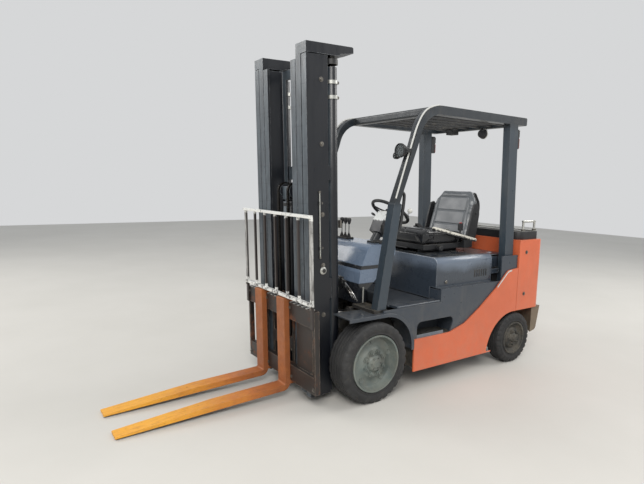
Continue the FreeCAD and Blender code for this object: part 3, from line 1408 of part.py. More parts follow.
# Every object has to be sound before anything is written.
faults = [o.Name for o in doc.Objects if "Invalid" in o.State or "Error" in o.State]
faults += [n.Label for n in nodes if n.Shape.isNull() or not n.Shape.isValid() or not n.Shape.Solids]
if faults:
    raise RuntimeError("unsound: " + ", ".join(faults))
for thing in nodes:
    thing.Shape.exportStep("parts/%s.step" % thing.Label)
reach = Part.makeCompound([n.Shape for n in nodes]).optimalBoundingBox()
print("%d nodes, X %.1f to %.1f, Y %.1f to %.1f, Z %.1f to %.1f" % (
    len(nodes), reach.XMin, reach.XMax, reach.YMin, reach.YMax, reach.ZMin, reach.ZMax))
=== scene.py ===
import json
import math
import random

import bmesh
import bpy
from mathutils import Matrix, Vector
from mathutils.bvhtree import BVHTree

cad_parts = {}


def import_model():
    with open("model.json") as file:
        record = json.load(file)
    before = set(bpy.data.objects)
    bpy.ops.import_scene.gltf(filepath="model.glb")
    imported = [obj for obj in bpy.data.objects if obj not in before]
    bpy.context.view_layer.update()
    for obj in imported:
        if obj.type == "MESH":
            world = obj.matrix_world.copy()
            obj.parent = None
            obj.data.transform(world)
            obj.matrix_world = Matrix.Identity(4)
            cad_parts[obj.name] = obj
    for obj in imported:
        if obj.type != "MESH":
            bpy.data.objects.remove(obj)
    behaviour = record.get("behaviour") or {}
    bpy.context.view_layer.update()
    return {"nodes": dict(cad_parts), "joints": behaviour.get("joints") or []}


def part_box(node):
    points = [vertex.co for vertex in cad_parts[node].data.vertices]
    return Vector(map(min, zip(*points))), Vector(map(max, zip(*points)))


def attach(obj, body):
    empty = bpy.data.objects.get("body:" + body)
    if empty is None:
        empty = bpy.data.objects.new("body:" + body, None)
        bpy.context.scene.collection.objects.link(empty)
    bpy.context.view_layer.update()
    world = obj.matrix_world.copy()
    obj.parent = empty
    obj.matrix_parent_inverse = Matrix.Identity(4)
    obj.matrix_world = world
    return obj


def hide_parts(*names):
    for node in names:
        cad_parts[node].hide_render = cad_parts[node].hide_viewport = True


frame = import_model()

# Places taken from the frame. The truck frame has its origin on the ground under the drive axle, with Y to
# the rear. The mast frame starts at the drive axle's centre and leans with the mast.
axle_low, axle_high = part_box("drive_axle")
AXLE = (axle_low + axle_high) / 2
JOINTS = {j["name"]: j for j in frame["joints"]}
MAST_UP = Vector(JOINTS["stage_lift"]["axis"])
TRUCK = Matrix.Translation((0, AXLE.y, 0))
MAST = Matrix.Translation(AXLE) @ Matrix.Rotation(math.atan2(-MAST_UP.y, MAST_UP.z), 4, "X")
TURN = 2 * math.pi
random.seed(7)


# Materials.

def srgb(red, green, blue):
    """A colour as an eye reads it, 0 to 255, turned to the linear numbers that a shader takes."""
    def linear(c):
        c /= 255
        return c / 12.92 if c <= 0.04045 else ((c + 0.055) / 1.055) ** 2.4
    return linear(red), linear(green), linear(blue), 1.0


def scaled(colour, share):
    return tuple(min(1.0, c * share) for c in colour[:3]) + (1.0,)


class Surface:
    """A procedural material under construction. Its places are the object's own coordinates, in metres."""

    def __init__(self, name, **values):
        self.material = bpy.data.materials.new(name)
        self.material.use_nodes = True
        self.tree = self.material.node_tree
        self.shader = self.tree.nodes["Principled BSDF"]
        for socket, value in values.items():
            self.shader.inputs[socket.replace("_", " ")].default_value = value
        self.place = self.tree.nodes.new("ShaderNodeTexCoord").outputs["Object"]

    def put(self, value, socket):
        if isinstance(value, bpy.types.NodeSocket):
            self.tree.links.new(value, socket)
        else:
            socket.default_value = value

    def node(self, kind, values, result=0, **settings):
        made = self.tree.nodes.new(kind)
        for key, value in settings.items():
            setattr(made, key, value)
        for key, value in values.items():
            self.put(value, made.inputs[key])
        return made.outputs[result]

    def stretched(self, x, y, z):
        return self.node("ShaderNodeMapping", {"Vector": self.place, "Scale": (x, y, z)})

    def noise(self, scale, detail=4.0, rough=0.55, place=None):
        return self.node("ShaderNodeTexNoise", {"Vector": place or self.place, "Scale": scale, "Detail": detail,
                                                "Roughness": rough})

    def cells(self, scale, place=None, feature="F1"):
        return self.node("ShaderNodeTexVoronoi", {"Vector": place or self.place, "Scale": scale}, feature=feature)

    def math(self, operation, a, b=0.0):
        made = self.tree.nodes.new("ShaderNodeMath")
        made.operation = operation
        self.put(a, made.inputs[0])
        self.put(b, made.inputs[1])
        return made.outputs[0]

    def ramp(self, value, low, high, start=0.0, end=1.0):
        """The value's run from low to high, carried to start and end and held beyond them."""
        return self.node("ShaderNodeMapRange", {"Value": value, "From Min": low, "From Max": high, "To Min": start,
                                                "To Max": end})

    def mix(self, share, a, b):
        made = self.tree.nodes.new("ShaderNodeMix")
        made.data_type = "RGBA"
        self.put(share, made.inputs[0])
        self.put(a, made.inputs[6])
        self.put(b, made.inputs[7])
        return made.outputs[2]

    def along(self, axis):
        return self.node("ShaderNodeSeparateXYZ", {"Vector": self.place}, "XYZ".index(axis))

    def radial(self):
        """Distance from the object's own X axis."""
        y, z = self.along("Y"), self.along("Z")
        return self.math("SQRT", self.math("ADD", self.math("MULTIPLY", y, y), self.math("MULTIPLY", z, z)))

    def edges(self, radius, low=0.03, high=0.22):
        """1 at outer and inner edges, 0 on flats."""
        rounded = self.node("ShaderNodeBevel", {"Radius": radius}, samples=4)
        normal = self.tree.nodes.new("ShaderNodeNewGeometry").outputs["Normal"]
        alike = self.node("ShaderNodeVectorMath", {0: rounded, 1: normal}, "Value", operation="DOT_PRODUCT")
        return self.ramp(alike, 1 - low, 1 - high)

    def facing_up(self):
        normal = self.tree.nodes.new("ShaderNodeNewGeometry").outputs["Normal"]
        return self.node("ShaderNodeSeparateXYZ", {"Vector": normal}, 2)

    def done(self, colour, rough, height=None, strength=0.3, distance=0.001):
        self.put(colour, self.shader.inputs["Base Color"])
        self.put(rough, self.shader.inputs["Roughness"])
        if height is not None:
            bump = self.node("ShaderNodeBump", {"Height": height, "Strength": strength, "Distance": distance})
            self.tree.links.new(bump, self.shader.inputs["Normal"])
        return self.material


DUST = srgb(150, 140, 122)
GREASE = srgb(22, 20, 18)
BARE = srgb(150, 146, 138)
RUST = srgb(96, 52, 28)


def painted_guard_shade(s):
    """Painted shade on the guard: darkest on its roof and on the upper part of its front pillars."""
    height, back = s.along("Z"), s.along("Y")
    front = s.math("MULTIPLY", s.ramp(height, 1.27, 1.31), s.ramp(back, 0.34, 0.26))
    return s.math("MAXIMUM", s.ramp(height, 1.84, 1.90), front)


def paint(name, colour, gloss=0.34, chips=0.5, chip_colour=BARE, dust=0.35, dust_top=0.7, coat=0.25, mottle=0.12,
          shade=None):
    """Sprayed paint: uneven tone, chipped edges, scuffs, dust that thickens towards the ground, and painted shade where
    a shade mask is given.
    """
    s = Surface(name, Coat_Weight=coat, Coat_Roughness=0.12)
    broad = s.ramp(s.noise(2.3, 6, 0.6), 0.3, 0.7)
    tone = s.mix(broad, scaled(colour, 1 - mottle), scaled(colour, 1 + mottle))
    # Painted shade: the tone is darkened where the shade mask is high.
    if shade:
        tone = s.mix(shade(s), tone, scaled(colour, 0.4))
    streaks = s.ramp(s.noise(9, 5, 0.65, s.stretched(1.6, 1.6, 0.25)), 0.52, 0.78)
    tone = s.mix(s.math("MULTIPLY", streaks, 0.35 * dust), tone, DUST)
    low = s.ramp(s.along("Z"), dust_top, 0.05)
    patchy = s.ramp(s.noise(14, 8, 0.7), 0.38, 0.72)
    tone = s.mix(s.math("MULTIPLY", s.math("MULTIPLY", low, patchy), dust), tone, DUST)
    ledge = s.math("MULTIPLY", s.ramp(s.facing_up(), 0.75, 1.0), s.ramp(s.noise(22, 6), 0.35, 0.65))
    tone = s.mix(s.math("MULTIPLY", ledge, 0.5 * dust), tone, DUST)
    speck = s.ramp(s.noise(70, 3, 0.7), 0.66, 0.74)
    tone = s.mix(s.math("MULTIPLY", speck, 0.35 * chips), tone, scaled(colour, 0.45))
    rim = s.math("MULTIPLY", s.edges(0.0045), s.ramp(s.noise(26, 7, 0.75), 0.44, 0.58))
    worn = s.math("MULTIPLY", rim, chips)
    tone = s.mix(worn, tone, chip_colour)
    rough = s.math("ADD", s.ramp(s.noise(16, 6, 0.6), 0.3, 0.75, gloss - 0.06, gloss + 0.16),
                   s.math("MULTIPLY", low, 0.18 * dust))
    skin = s.math("ADD", s.math("MULTIPLY", s.noise(190, 2), 0.25), s.math("MULTIPLY", s.noise(28, 5), 0.5))
    return s.done(tone, rough, s.math("SUBTRACT", skin, s.math("MULTIPLY", worn, 0.6)), 0.16, 0.0012)


def fork_paint():
    """Yellow paint on the blades, worn through to brown steel towards the heel and up the shank, with painted shade on
    faces that point down.
    """
    s = Surface("fork_paint")
    yellow, orange, brown = srgb(232, 166, 54), srgb(190, 112, 48), srgb(128, 74, 44)
    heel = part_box("fork_left")[1].y - 0.04
    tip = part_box("fork_left")[0].y
    run = s.math("ADD", s.along("Y"), s.ramp(s.noise(7, 7, 0.7), 0.2, 0.8, -0.16, 0.16))
    tone = s.mix(s.ramp(run, tip + 0.25, tip + 0.85), yellow, orange)
    tone = s.mix(s.ramp(run, heel - 0.30, heel - 0.02, 0.0, 0.85), tone, brown)
    scuffs = s.ramp(s.noise(30, 8, 0.75, s.stretched(3.0, 0.35, 3.0)), 0.5, 0.66)
    tone = s.mix(s.math("MULTIPLY", scuffs, 0.45), tone, srgb(150, 96, 58))
    pits = s.ramp(s.noise(60, 6, 0.7), 0.6, 0.72)
    tone = s.mix(s.math("MULTIPLY", pits, 0.6), tone, srgb(84, 46, 26))
    tone = s.mix(s.math("MULTIPLY", s.edges(0.005), 0.7), tone, srgb(120, 84, 62))
    # Painted shade: faces that point down are darkened to a deep brown.
    under = s.ramp(s.facing_up(), -0.2, -0.6)
    tone = s.mix(under, tone, srgb(52, 26, 16))
    height = s.math("ADD", s.noise(45, 8, 0.7), s.math("MULTIPLY", pits, -0.5))
    return s.done(tone, s.ramp(s.noise(20, 6), 0.3, 0.7, 0.42, 0.7), height, 0.35, 0.0015)


def rusty(name, colour, share=0.5):
    """Dark paint with rust blooming through it."""
    s = Surface(name)
    bloom = s.ramp(s.noise(6, 9, 0.72), 0.62 - 0.25 * share, 0.72 - 0.2 * share)
    rust = s.mix(s.noise(40, 6, 0.7), srgb(70, 38, 24), srgb(134, 84, 54))
    tone = s.mix(bloom, s.mix(s.noise(12, 5), scaled(colour, 0.75), scaled(colour, 1.3)), rust)
    tone = s.mix(s.math("MULTIPLY", s.edges(0.005), s.ramp(s.noise(30, 6), 0.4, 0.6, 0.2, 0.9)), tone, srgb(168, 150, 132))
    height = s.math("ADD", s.noise(50, 8, 0.7), s.math("MULTIPLY", bloom, 0.5))
    return s.done(tone, s.ramp(bloom, 0.0, 1.0, 0.45, 0.82), height, 0.35, 0.0015)


def steel(name, colour, rough=0.35, grease=0.3, metal=0.85):
    """Bare steel, drawn along its length, with dark grease in patches."""
    s = Surface(name, Metallic=metal)
    drawn = s.noise(60, 4, 0.6, s.stretched(1.0, 1.0, 0.06))
    tone = s.mix(drawn, scaled(colour, 0.75), scaled(colour, 1.2))
    oil = s.math("MULTIPLY", s.ramp(s.noise(8, 7, 0.7), 0.45, 0.65), grease)
    tone = s.mix(oil, tone, GREASE)
    return s.done(tone, s.ramp(drawn, 0.3, 0.7, rough - 0.08, rough + 0.12), drawn, 0.1, 0.0006)


def chrome_rod():
    s = Surface("chrome_rod", Metallic=1.0)
    film = s.ramp(s.noise(9, 5), 0.4, 0.7)
    return s.done(s.mix(film, srgb(205, 206, 208), srgb(150, 146, 138)), s.ramp(film, 0.0, 1.0, 0.08, 0.24))


def tyre_rubber():
    """Solid rubber: black, with a grey band over the tread and the outer sidewall that is partly scrubbed rubber and
    partly a painted highlight ring, dust in patches and fine cracks.
    """
    s = Surface("tyre_rubber")
    black, grey = srgb(24, 24, 26), srgb(60, 60, 60)
    out = s.radial()
    patch = s.ramp(s.noise(11, 7, 0.68), 0.35, 0.7)
    tone = s.mix(patch, black, srgb(46, 46, 46))
    # Grey band over the tread and the outer sidewall: scrubbed rubber on the tread, a painted highlight ring on the
    # sidewall.
    flank = s.math("MULTIPLY", s.ramp(out, 0.17, 0.25), s.ramp(s.noise(5, 6, 0.6), 0.3, 0.65))
    tone = s.mix(s.math("MULTIPLY", flank, 0.45), tone, grey)
    dusty = s.ramp(s.noise(24, 8, 0.75), 0.52, 0.78, 0.0, 0.32)
    tone = s.mix(dusty, tone, srgb(96, 92, 85))
    cracks = s.ramp(s.cells(85, s.stretched(1, 1, 1), "DISTANCE_TO_EDGE"), 0.0, 0.03, 1.0, 0.0)
    height = s.math("ADD", s.math("MULTIPLY", s.noise(120, 5, 0.7), 0.5), s.math("MULTIPLY", cracks, -0.35))
    return s.done(tone, s.ramp(patch, 0.0, 1.0, 0.62, 0.85), height, 0.35, 0.001)


def plastic(name, colour, rough=0.5, grain=160, dust=0.15):
    """Moulded plastic with a fine grain."""
    s = Surface(name)
    tone = s.mix(s.noise(6, 5), scaled(colour, 0.82), scaled(colour, 1.25))
    settled = s.math("MULTIPLY", s.ramp(s.facing_up(), 0.5, 1.0), s.ramp(s.noise(20, 7, 0.7), 0.35, 0.7))
    tone = s.mix(s.math("MULTIPLY", settled, dust), tone, DUST)
    tone = s.mix(s.math("MULTIPLY", s.edges(0.003), 0.25), tone, scaled(colour, 2.6))
    skin = s.cells(grain * 2.2)
    return s.done(tone, s.ramp(s.noise(14, 5), 0.3, 0.7, rough - 0.08, rough + 0.12), skin, 0.12, 0.0006)


def vinyl(name, colour, rough=0.34):
    """Coated seat cloth: pebbled grain, polished where it is sat on."""
    s = Surface(name, Coat_Weight=0.15, Coat_Roughness=0.3)
    tone = s.mix(s.noise(5, 5), scaled(colour, 0.8), scaled(colour, 1.2))
    scuffed = s.ramp(s.noise(18, 8, 0.75), 0.55, 0.75, 0.0, 0.35)
    tone = s.mix(scuffed, tone, scaled(colour, 1.9))
    pebble = s.cells(420)
    height = s.math("ADD", pebble, s.math("MULTIPLY", s.noise(18, 5), 0.6))
    return s.done(tone, s.ramp(s.noise(9, 5), 0.3, 0.7, rough - 0.1, rough + 0.15), height, 0.22, 0.0007)


def webbing():
    """Woven belt: fine ribs along and across."""
    s = Surface("webbing")
    fine = s.node("ShaderNodeTexWave", {"Vector": s.place, "Scale": 160.0}, "Fac", bands_direction="Y")
    cross = s.node("ShaderNodeTexWave", {"Vector": s.place, "Scale": 110.0}, "Fac", bands_direction="X")
    weave = s.math("MULTIPLY", fine, cross)
    return s.done(s.mix(weave, srgb(20, 20, 22), srgb(58, 58, 60)), 0.7, weave, 0.4, 0.0006)


def floor_mat():
    """Ribbed rubber mat, dusty between its ribs."""
    s = Surface("floor_mat")
    ribs = s.node("ShaderNodeTexWave", {"Vector": s.place, "Scale": 26.0, "Distortion": 0.0}, "Fac")
    dusty = s.math("MULTIPLY", s.ramp(ribs, 0.5, 0.1), s.ramp(s.noise(9, 7), 0.3, 0.7))
    tone = s.mix(s.math("MULTIPLY", dusty, 0.55), srgb(44, 51, 60), srgb(104, 104, 100))
    return s.done(tone, 0.75, ribs, 0.6, 0.003)


def lens(name, colour):
    """Fluted lamp glass."""
    s = Surface(name, Transmission_Weight=0.75, IOR=1.45)
    flutes = s.node("ShaderNodeTexWave", {"Vector": s.place, "Scale": 60.0}, "Fac")
    grime = s.ramp(s.noise(40, 6, 0.7), 0.5, 0.8, 0.0, 0.5)
    return s.done(s.mix(grime, colour, scaled(colour, 0.6)), s.ramp(grime, 0.0, 0.5, 0.08, 0.35), flutes, 0.3, 0.002)


def two_tone(name, colour, other, axis, level, soft=0.004, slope=0.0, rough=0.4, band=(-2.0, -1.0), outer=9.0):
    """One colour above a level, flecked in a lower band and beyond a half width, and another elsewhere."""
    s = Surface(name, Coat_Weight=0.1, Coat_Roughness=0.3)
    run = s.math("ADD", s.along(axis), s.math("MULTIPLY", s.along("Y"), slope))
    flecks = s.ramp(s.noise(55, 7, 0.75), 0.25, 0.75, -0.012, 0.012)
    share = s.ramp(s.math("ADD", run, flecks), level - soft, level + soft)
    within = s.math("MULTIPLY", s.ramp(run, band[0], band[0] + soft), s.ramp(run, band[1] + soft, band[1]))
    share = s.math("MAXIMUM", share, s.math("MULTIPLY", within, s.ramp(s.noise(26, 6, 0.7), 0.40, 0.52)))
    # Pale beyond a half width: on the backrest, painted highlights on its outer legs.
    legs = s.math("MULTIPLY", s.ramp(s.math("ABSOLUTE", s.along("X")), outer, outer + 0.003),
                  s.ramp(s.noise(9, 6, 0.7, s.stretched(3, 3, 0.6)), 0.38, 0.6, 0.15, 0.6))
    legs = s.math("MULTIPLY", legs, s.ramp(run, band[0], band[0] + soft))
    share = s.math("MAXIMUM", share, legs)
    chipped = s.ramp(s.noise(38, 8, 0.78), 0.56, 0.62)
    above = s.mix(s.math("MULTIPLY", chipped, 0.75), colour, other)
    tone = s.mix(share, s.mix(s.noise(9, 6), scaled(other, 0.75), scaled(other, 1.3)), above)
    return s.done(tone, s.ramp(s.noise(16, 6), 0.3, 0.7, rough - 0.08, rough + 0.12), s.noise(60, 6, 0.7), 0.2, 0.001)


def mast_paint():
    """Dark greasy paint with a painted highlight in patches on the faces that point forwards, where faint marks cross
    it at even steps.
    """
    s = Surface("mast_paint", Coat_Weight=0.12, Coat_Roughness=0.2)
    normal = s.tree.nodes.new("ShaderNodeNewGeometry").outputs["Normal"]
    # Painted highlight: faces that point forwards are lightened in patches, standing in for light falling on them from
    # the front.
    ahead = s.ramp(s.node("ShaderNodeSeparateXYZ", {"Vector": normal}, 1), -0.6, -0.95)
    dark, pale = srgb(15, 18, 24), srgb(76, 85, 92)
    tone = s.mix(s.noise(3, 6, 0.6, s.stretched(3, 3, 0.4)), scaled(dark, 0.8), scaled(dark, 1.35))
    painted_highlight_patches = s.ramp(s.noise(20, 8, 0.7, s.stretched(1.5, 1.5, 0.3)), 0.32, 0.62, 0.35, 1.0)
    tone = s.mix(s.math("MULTIPLY", ahead, painted_highlight_patches), tone, pale)
    step = s.math("FRACT", s.math("MULTIPLY", s.math("ADD", s.along("Z"), s.ramp(s.noise(4), 0.3, 0.7, 0.0, 0.02)), 8.5))
    mark = s.math("MULTIPLY", s.ramp(step, 0.05, 0.02), s.ramp(s.noise(60, 6), 0.35, 0.6))
    tone = s.mix(s.math("MULTIPLY", mark, 0.6), tone, dark)
    worn = s.math("MULTIPLY", s.edges(0.004), s.ramp(s.noise(24, 7, 0.75), 0.4, 0.6, 0.1, 0.85))
    tone = s.mix(worn, tone, srgb(168, 172, 176))
    greasy = s.ramp(s.noise(7, 7, 0.7, s.stretched(2, 2, 0.5)), 0.5, 0.7)
    return s.done(tone, s.ramp(greasy, 0.0, 1.0, 0.42, 0.22), s.noise(40, 7, 0.65), 0.18, 0.001)


def cowl_paint():
    """Gloss pale blue in two panels with a dark joint between them, and black below."""
    s = Surface("cowl_paint", Coat_Weight=0.6, Coat_Roughness=0.1)
    z = s.along("Z")
    pale = s.mix(s.noise(4, 5), scaled(PALE_BLUE, 0.86), scaled(PALE_BLUE, 1.12))
    pale = s.mix(s.ramp(s.noise(15, 8, 0.75, s.stretched(0.4, 1, 1)), 0.56, 0.7, 0.0, 0.35), pale, srgb(86, 98, 114))
    joint = s.math("MULTIPLY", s.ramp(z, 0.832, 0.836), s.ramp(z, 0.862, 0.858))
    dark = s.math("MAXIMUM", joint, s.ramp(z, 0.742, 0.736))
    pale = s.mix(s.ramp(s.along("Y"), 0.2, 0.05), pale, scaled(PALE_BLUE, 0.72))
    tone = s.mix(dark, pale, srgb(26, 29, 34))
    return s.done(tone, s.ramp(s.noise(12, 6), 0.3, 0.7, 0.2, 0.34), s.math("MULTIPLY", dark, -1.0), 0.5, 0.003)


def hood_paint():
    """Slate with a painted reflection along its upper side, dust on its upward faces, and a painted highlight along its
    top edge.
    """
    s = Surface("hood_paint", Coat_Weight=0.5, Coat_Roughness=0.14)
    z = s.along("Z")
    slate = s.mix(s.noise(3, 6), scaled(SLATE, 0.85), scaled(SLATE, 1.15))
    # Painted reflection: a paler blue-grey band along the upper side.
    upper = s.math("MULTIPLY", s.ramp(s.math("ADD", z, s.ramp(s.noise(3.2, 5), 0.3, 0.7, -0.03, 0.03)), 0.79, 0.86), 0.75)
    tone = s.mix(upper, slate, srgb(112, 124, 140))
    top = s.ramp(s.facing_up(), 0.8, 1.0)
    tone = s.mix(top, tone, s.mix(s.ramp(s.noise(18, 8, 0.72), 0.45, 0.68), scaled(SLATE, 0.7), srgb(110, 108, 102)))
    # Painted highlight: a near-white line on the edges along the hood's top.
    painted_edge_highlight = s.math("MULTIPLY", s.edges(0.012, 0.02, 0.12), s.ramp(z, 0.87, 0.9, 0.15, 0.85))
    tone = s.mix(painted_edge_highlight, tone, srgb(206, 212, 218))
    return s.done(tone, s.ramp(s.noise(14, 6), 0.3, 0.7, 0.22, 0.4), s.noise(26, 6), 0.1, 0.001)


ORANGE = srgb(208, 102, 64)
SLATE = srgb(52, 60, 70)
GUARD_BLUE = srgb(50, 60, 69)
PALE_BLUE = srgb(122, 140, 164)

LOOKS = {
    "orange": paint("orange_paint", ORANGE, gloss=0.36, chips=0.5, chip_colour=srgb(150, 108, 84), dust=0.3, dust_top=0.5),
    "slate": paint("slate_paint", SLATE, gloss=0.3, chips=0.45, dust=0.28),
    "black": paint("black_paint", srgb(30, 31, 33), gloss=0.45, chips=0.5, dust=0.5, coat=0.0),
    # The guard gets painted shade on its roof and on the upper part of its front pillars.
    "guard": paint("guard_paint", GUARD_BLUE, gloss=0.33, chips=0.4, dust=0.2, shade=painted_guard_shade),
    "mast": mast_paint(),
    "cowl": cowl_paint(),
    "hood": hood_paint(),
    # On the backrest the white top band, the white flecks in its lower band and its white outer legs are painted
    # highlights on dark bars.
    "rest": two_tone("backrest_paint", srgb(222, 222, 218), srgb(42, 36, 34), "Z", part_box("backrest")[1].z - 0.034,
                     band=(0.676, 0.716), outer=0.4235),
    "hip": two_tone("hip_rest_plastic", srgb(226, 222, 210), srgb(34, 35, 37), "Z", 1.2266, slope=0.2245),
    "grey": paint("grey_paint", srgb(92, 96, 98), gloss=0.45, chips=0.6, dust=0.5),
    "pale": paint("pale_paint", PALE_BLUE, gloss=0.22, chips=0.2, dust=0.2, coat=0.6),
    "rim": paint("rim_paint", srgb(92, 101, 98), gloss=0.42, chips=1.0, chip_colour=srgb(44, 46, 45), dust=0.3,
                 coat=0.15, mottle=0.55),
    "rim_dark": paint("rim_dark", srgb(36, 37, 37), gloss=0.55, chips=0.5, dust=0.35, coat=0.0),
    "engine": paint("engine_paint", srgb(74, 76, 78), gloss=0.5, dust=0.6, coat=0.0),
    "fork": fork_paint(),
    "rusty": rusty("rusty_paint", srgb(38, 34, 32), 0.32),
    "step": paint("step_paint", srgb(100, 110, 120), gloss=0.5, chips=0.6, dust=0.5, coat=0.0),
    "tan": paint("tail_dusty", srgb(112, 98, 82), gloss=0.65, chips=0.7, chip_colour=srgb(64, 56, 50), dust=0.5, coat=0.0),
    "edge": rusty("pale_edge", srgb(196, 196, 192), 0.1),
    "cast": paint("cast_black", srgb(38, 38, 38), gloss=0.6, chips=0.3, dust=0.6, coat=0.0),
    "steel": steel("bare_steel", srgb(128, 124, 118)),
    "chain": steel("chain_steel", srgb(44, 41, 38), rough=0.38, grease=0.8),
    "zinc": steel("zinc_steel", srgb(196, 196, 190), rough=0.3, grease=0.1),
    "tread": steel("tread_steel", srgb(110, 108, 104), rough=0.45, grease=0.3, metal=0.6),
    "chrome": chrome_rod(),
    "tyre": tyre_rubber(),
    "plastic": plastic("black_plastic", srgb(34, 35, 37)),
    "white": plastic("white_plastic", srgb(214, 214, 208), rough=0.35, dust=0.25),
    "red": plastic("red_plastic", srgb(160, 34, 28), rough=0.35, dust=0.1),
    "seat_grey": vinyl("seat_grey", srgb(92, 96, 100)),
    "seat_black": vinyl("seat_black", srgb(30, 31, 34), rough=0.2),
    "webbing": webbing(),
    "hose": plastic("hose_rubber", srgb(24, 24, 25), rough=0.6, grain=90),
    "mat": floor_mat(),
    "lens": lens("lamp_lens", srgb(150, 156, 158)),
    "column": two_tone("column_plastic", srgb(222, 224, 222), srgb(36, 38, 42), "Z", 1.150, rough=0.4),
    "red_lens": lens("tail_lens", srgb(176, 22, 16)),
    "rubber": plastic("black_rubber", srgb(26, 26, 27), rough=0.7, grain=90, dust=0.3),
}


# Mesh helpers.

def made(name, bm, look, body, matrix=TRUCK, round_off=0.0, smooth=38, replaces=(), origin=None):
    """Turns a bmesh in the given frame into a piece that rides on a body."""
    mesh = bpy.data.meshes.new(name)
    bmesh.ops.recalc_face_normals(bm, faces=bm.faces)
    bm.to_mesh(mesh)
    bm.free()
    mesh.transform(matrix)
    obj = bpy.data.objects.new(name, mesh)
    bpy.context.scene.collection.objects.link(obj)
    if origin is not None:
        mesh.transform(Matrix.Translation(-origin))
        obj.location = origin
    return dress(obj, look, body, round_off, smooth, replaces)


def dress(obj, look, body, round_off=0.0, smooth=38, replaces=()):
    mesh = obj.data
    mesh.materials.clear()
    mesh.materials.append(LOOKS[look])
    mesh.shade_smooth()
    mesh.set_sharp_from_angle(angle=math.radians(smooth))
    if round_off:
        rounding = obj.modifiers.new("rounding", "BEVEL")
        rounding.width = round_off
        rounding.segments = 2
        rounding.limit_method = "ANGLE"
        rounding.angle_limit = math.radians(30)
        rounding.harden_normals = True
    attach(obj, body)
    if replaces:
        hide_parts(*replaces)
    return obj


def block(bm, low, high):
    """A box between two corners."""
    low, high = Vector(low), Vector(high)
    spots = [(x, y, z) for x in (low.x, high.x) for y in (low.y, high.y) for z in (low.z, high.z)]
    v = [bm.verts.new(s) for s in spots]
    for face in ((0, 1, 3, 2), (4, 6, 7, 5), (0, 4, 5, 1), (2, 3, 7, 6), (0, 2, 6, 4), (1, 5, 7, 3)):
        bm.faces.new([v[i] for i in face])
    return v


def lathe(bm, profile, steps=48, matrix=Matrix(), closed=True):
    """(along, radius) corners turned about X."""
    rings = []
    for i in range(steps):
        a = TURN * i / steps
        rings.append([bm.verts.new(matrix @ Vector((x, r * math.cos(a), r * math.sin(a)))) for x, r in profile])
    runs = len(profile) if closed else len(profile) - 1
    for i in range(steps):
        here, ahead = rings[i], rings[(i + 1) % steps]
        for k in range(runs):
            n = (k + 1) % len(profile)
            face = [here[k], here[n], ahead[n], ahead[k]]
            bm.faces.new(face)
    bmesh.ops.remove_doubles(bm, verts=[v for ring in rings for v in ring], dist=1e-6)


def turned_to(direction, place):
    """A matrix that carries the X axis to a direction and the origin to a place."""
    return Matrix.Translation(place) @ Vector(direction).to_track_quat("X", "Y").to_matrix().to_4x4()


def bar(bm, start, end, radius, steps=20, soft=0.0):
    """A round bar between two points, with its ends rounded off."""
    start, end = Vector(start), Vector(end)
    length = (end - start).length
    soft = soft or radius * 0.15
    profile = [(0, 0), (0, radius - soft), (soft, radius), (length - soft, radius), (length, radius - soft), (length, 0)]
    lathe(bm, profile, steps, turned_to(end - start, start), closed=False)


def bolt(bm, place, direction, radius=0.008, head=0.006):
    """A hexagon head on a washer."""
    matrix = turned_to(direction, Vector(place))
    lathe(bm, [(0, 0), (0, radius * 1.55), (head * 0.3, radius * 1.55), (head * 0.3, 0)], 16, matrix, closed=False)
    lathe(bm, [(head * 0.3, 0), (head * 0.3, radius), (head * 1.1, radius), (head * 1.25, radius * 0.85),
               (head * 1.25, 0)], 6, matrix, closed=False)


def prism(bm, outline, low, high, plane="YZ"):
    """An outline carried along the third axis."""
    def spot(u, v, w):
        return {"YZ": (w, u, v), "XZ": (u, w, v), "XY": (u, v, w)}[plane]
    lower = [bm.verts.new(spot(u, v, low)) for u, v in outline]
    upper = [bm.verts.new(spot(u, v, high)) for u, v in outline]
    count = len(outline)
    bm.faces.new(lower)
    bm.faces.new(upper)
    for i in range(count):
        n = (i + 1) % count
        bm.faces.new([lower[i], lower[n], upper[n], upper[i]])


def rounded(us, vs, radius, steps=5):
    """The corners of a rectangle with round corners."""
    spots = []
    for cu, cv, start in ((us[1] - radius, vs[1] - radius, 0), (us[0] + radius, vs[1] - radius, 90),
                          (us[0] + radius, vs[0] + radius, 180), (us[1] - radius, vs[0] + radius, 270)):
        for i in range(steps + 1):
            a = math.radians(start + 90 * i / steps)
            spots.append((cu + radius * math.cos(a), cv + radius * math.sin(a)))
    return spots


def hose(name, points, radius, look, body, matrix=TRUCK, closed=False):
    """A tube along a smooth line through a few points, clipped to one body."""
    data = bpy.data.curves.new(name, "CURVE")
    data.dimensions = "3D"
    line = data.splines.new("NURBS")
    line.points.add(len(points) - 1)
    for point, spot in zip(line.points, points):
        point.co = (*(matrix @ Vector(spot)), 1)
    line.order_u = 3
    line.use_endpoint_u = not closed
    line.use_cyclic_u = closed
    data.resolution_u = 8
    data.bevel_depth = radius
    data.bevel_resolution = 3
    data.use_fill_caps = True
    source = bpy.data.objects.new(name + "_line", data)
    bpy.context.scene.collection.objects.link(source)
    bpy.context.view_layer.update()
    mesh = bpy.data.meshes.new_from_object(source)
    bpy.data.objects.remove(source)
    obj = bpy.data.objects.new(name, mesh)
    bpy.context.scene.collection.objects.link(obj)
    return dress(obj, look, body, smooth=60)


# Nodes that keep their CAD shape: a look and a small rounding of their edges.

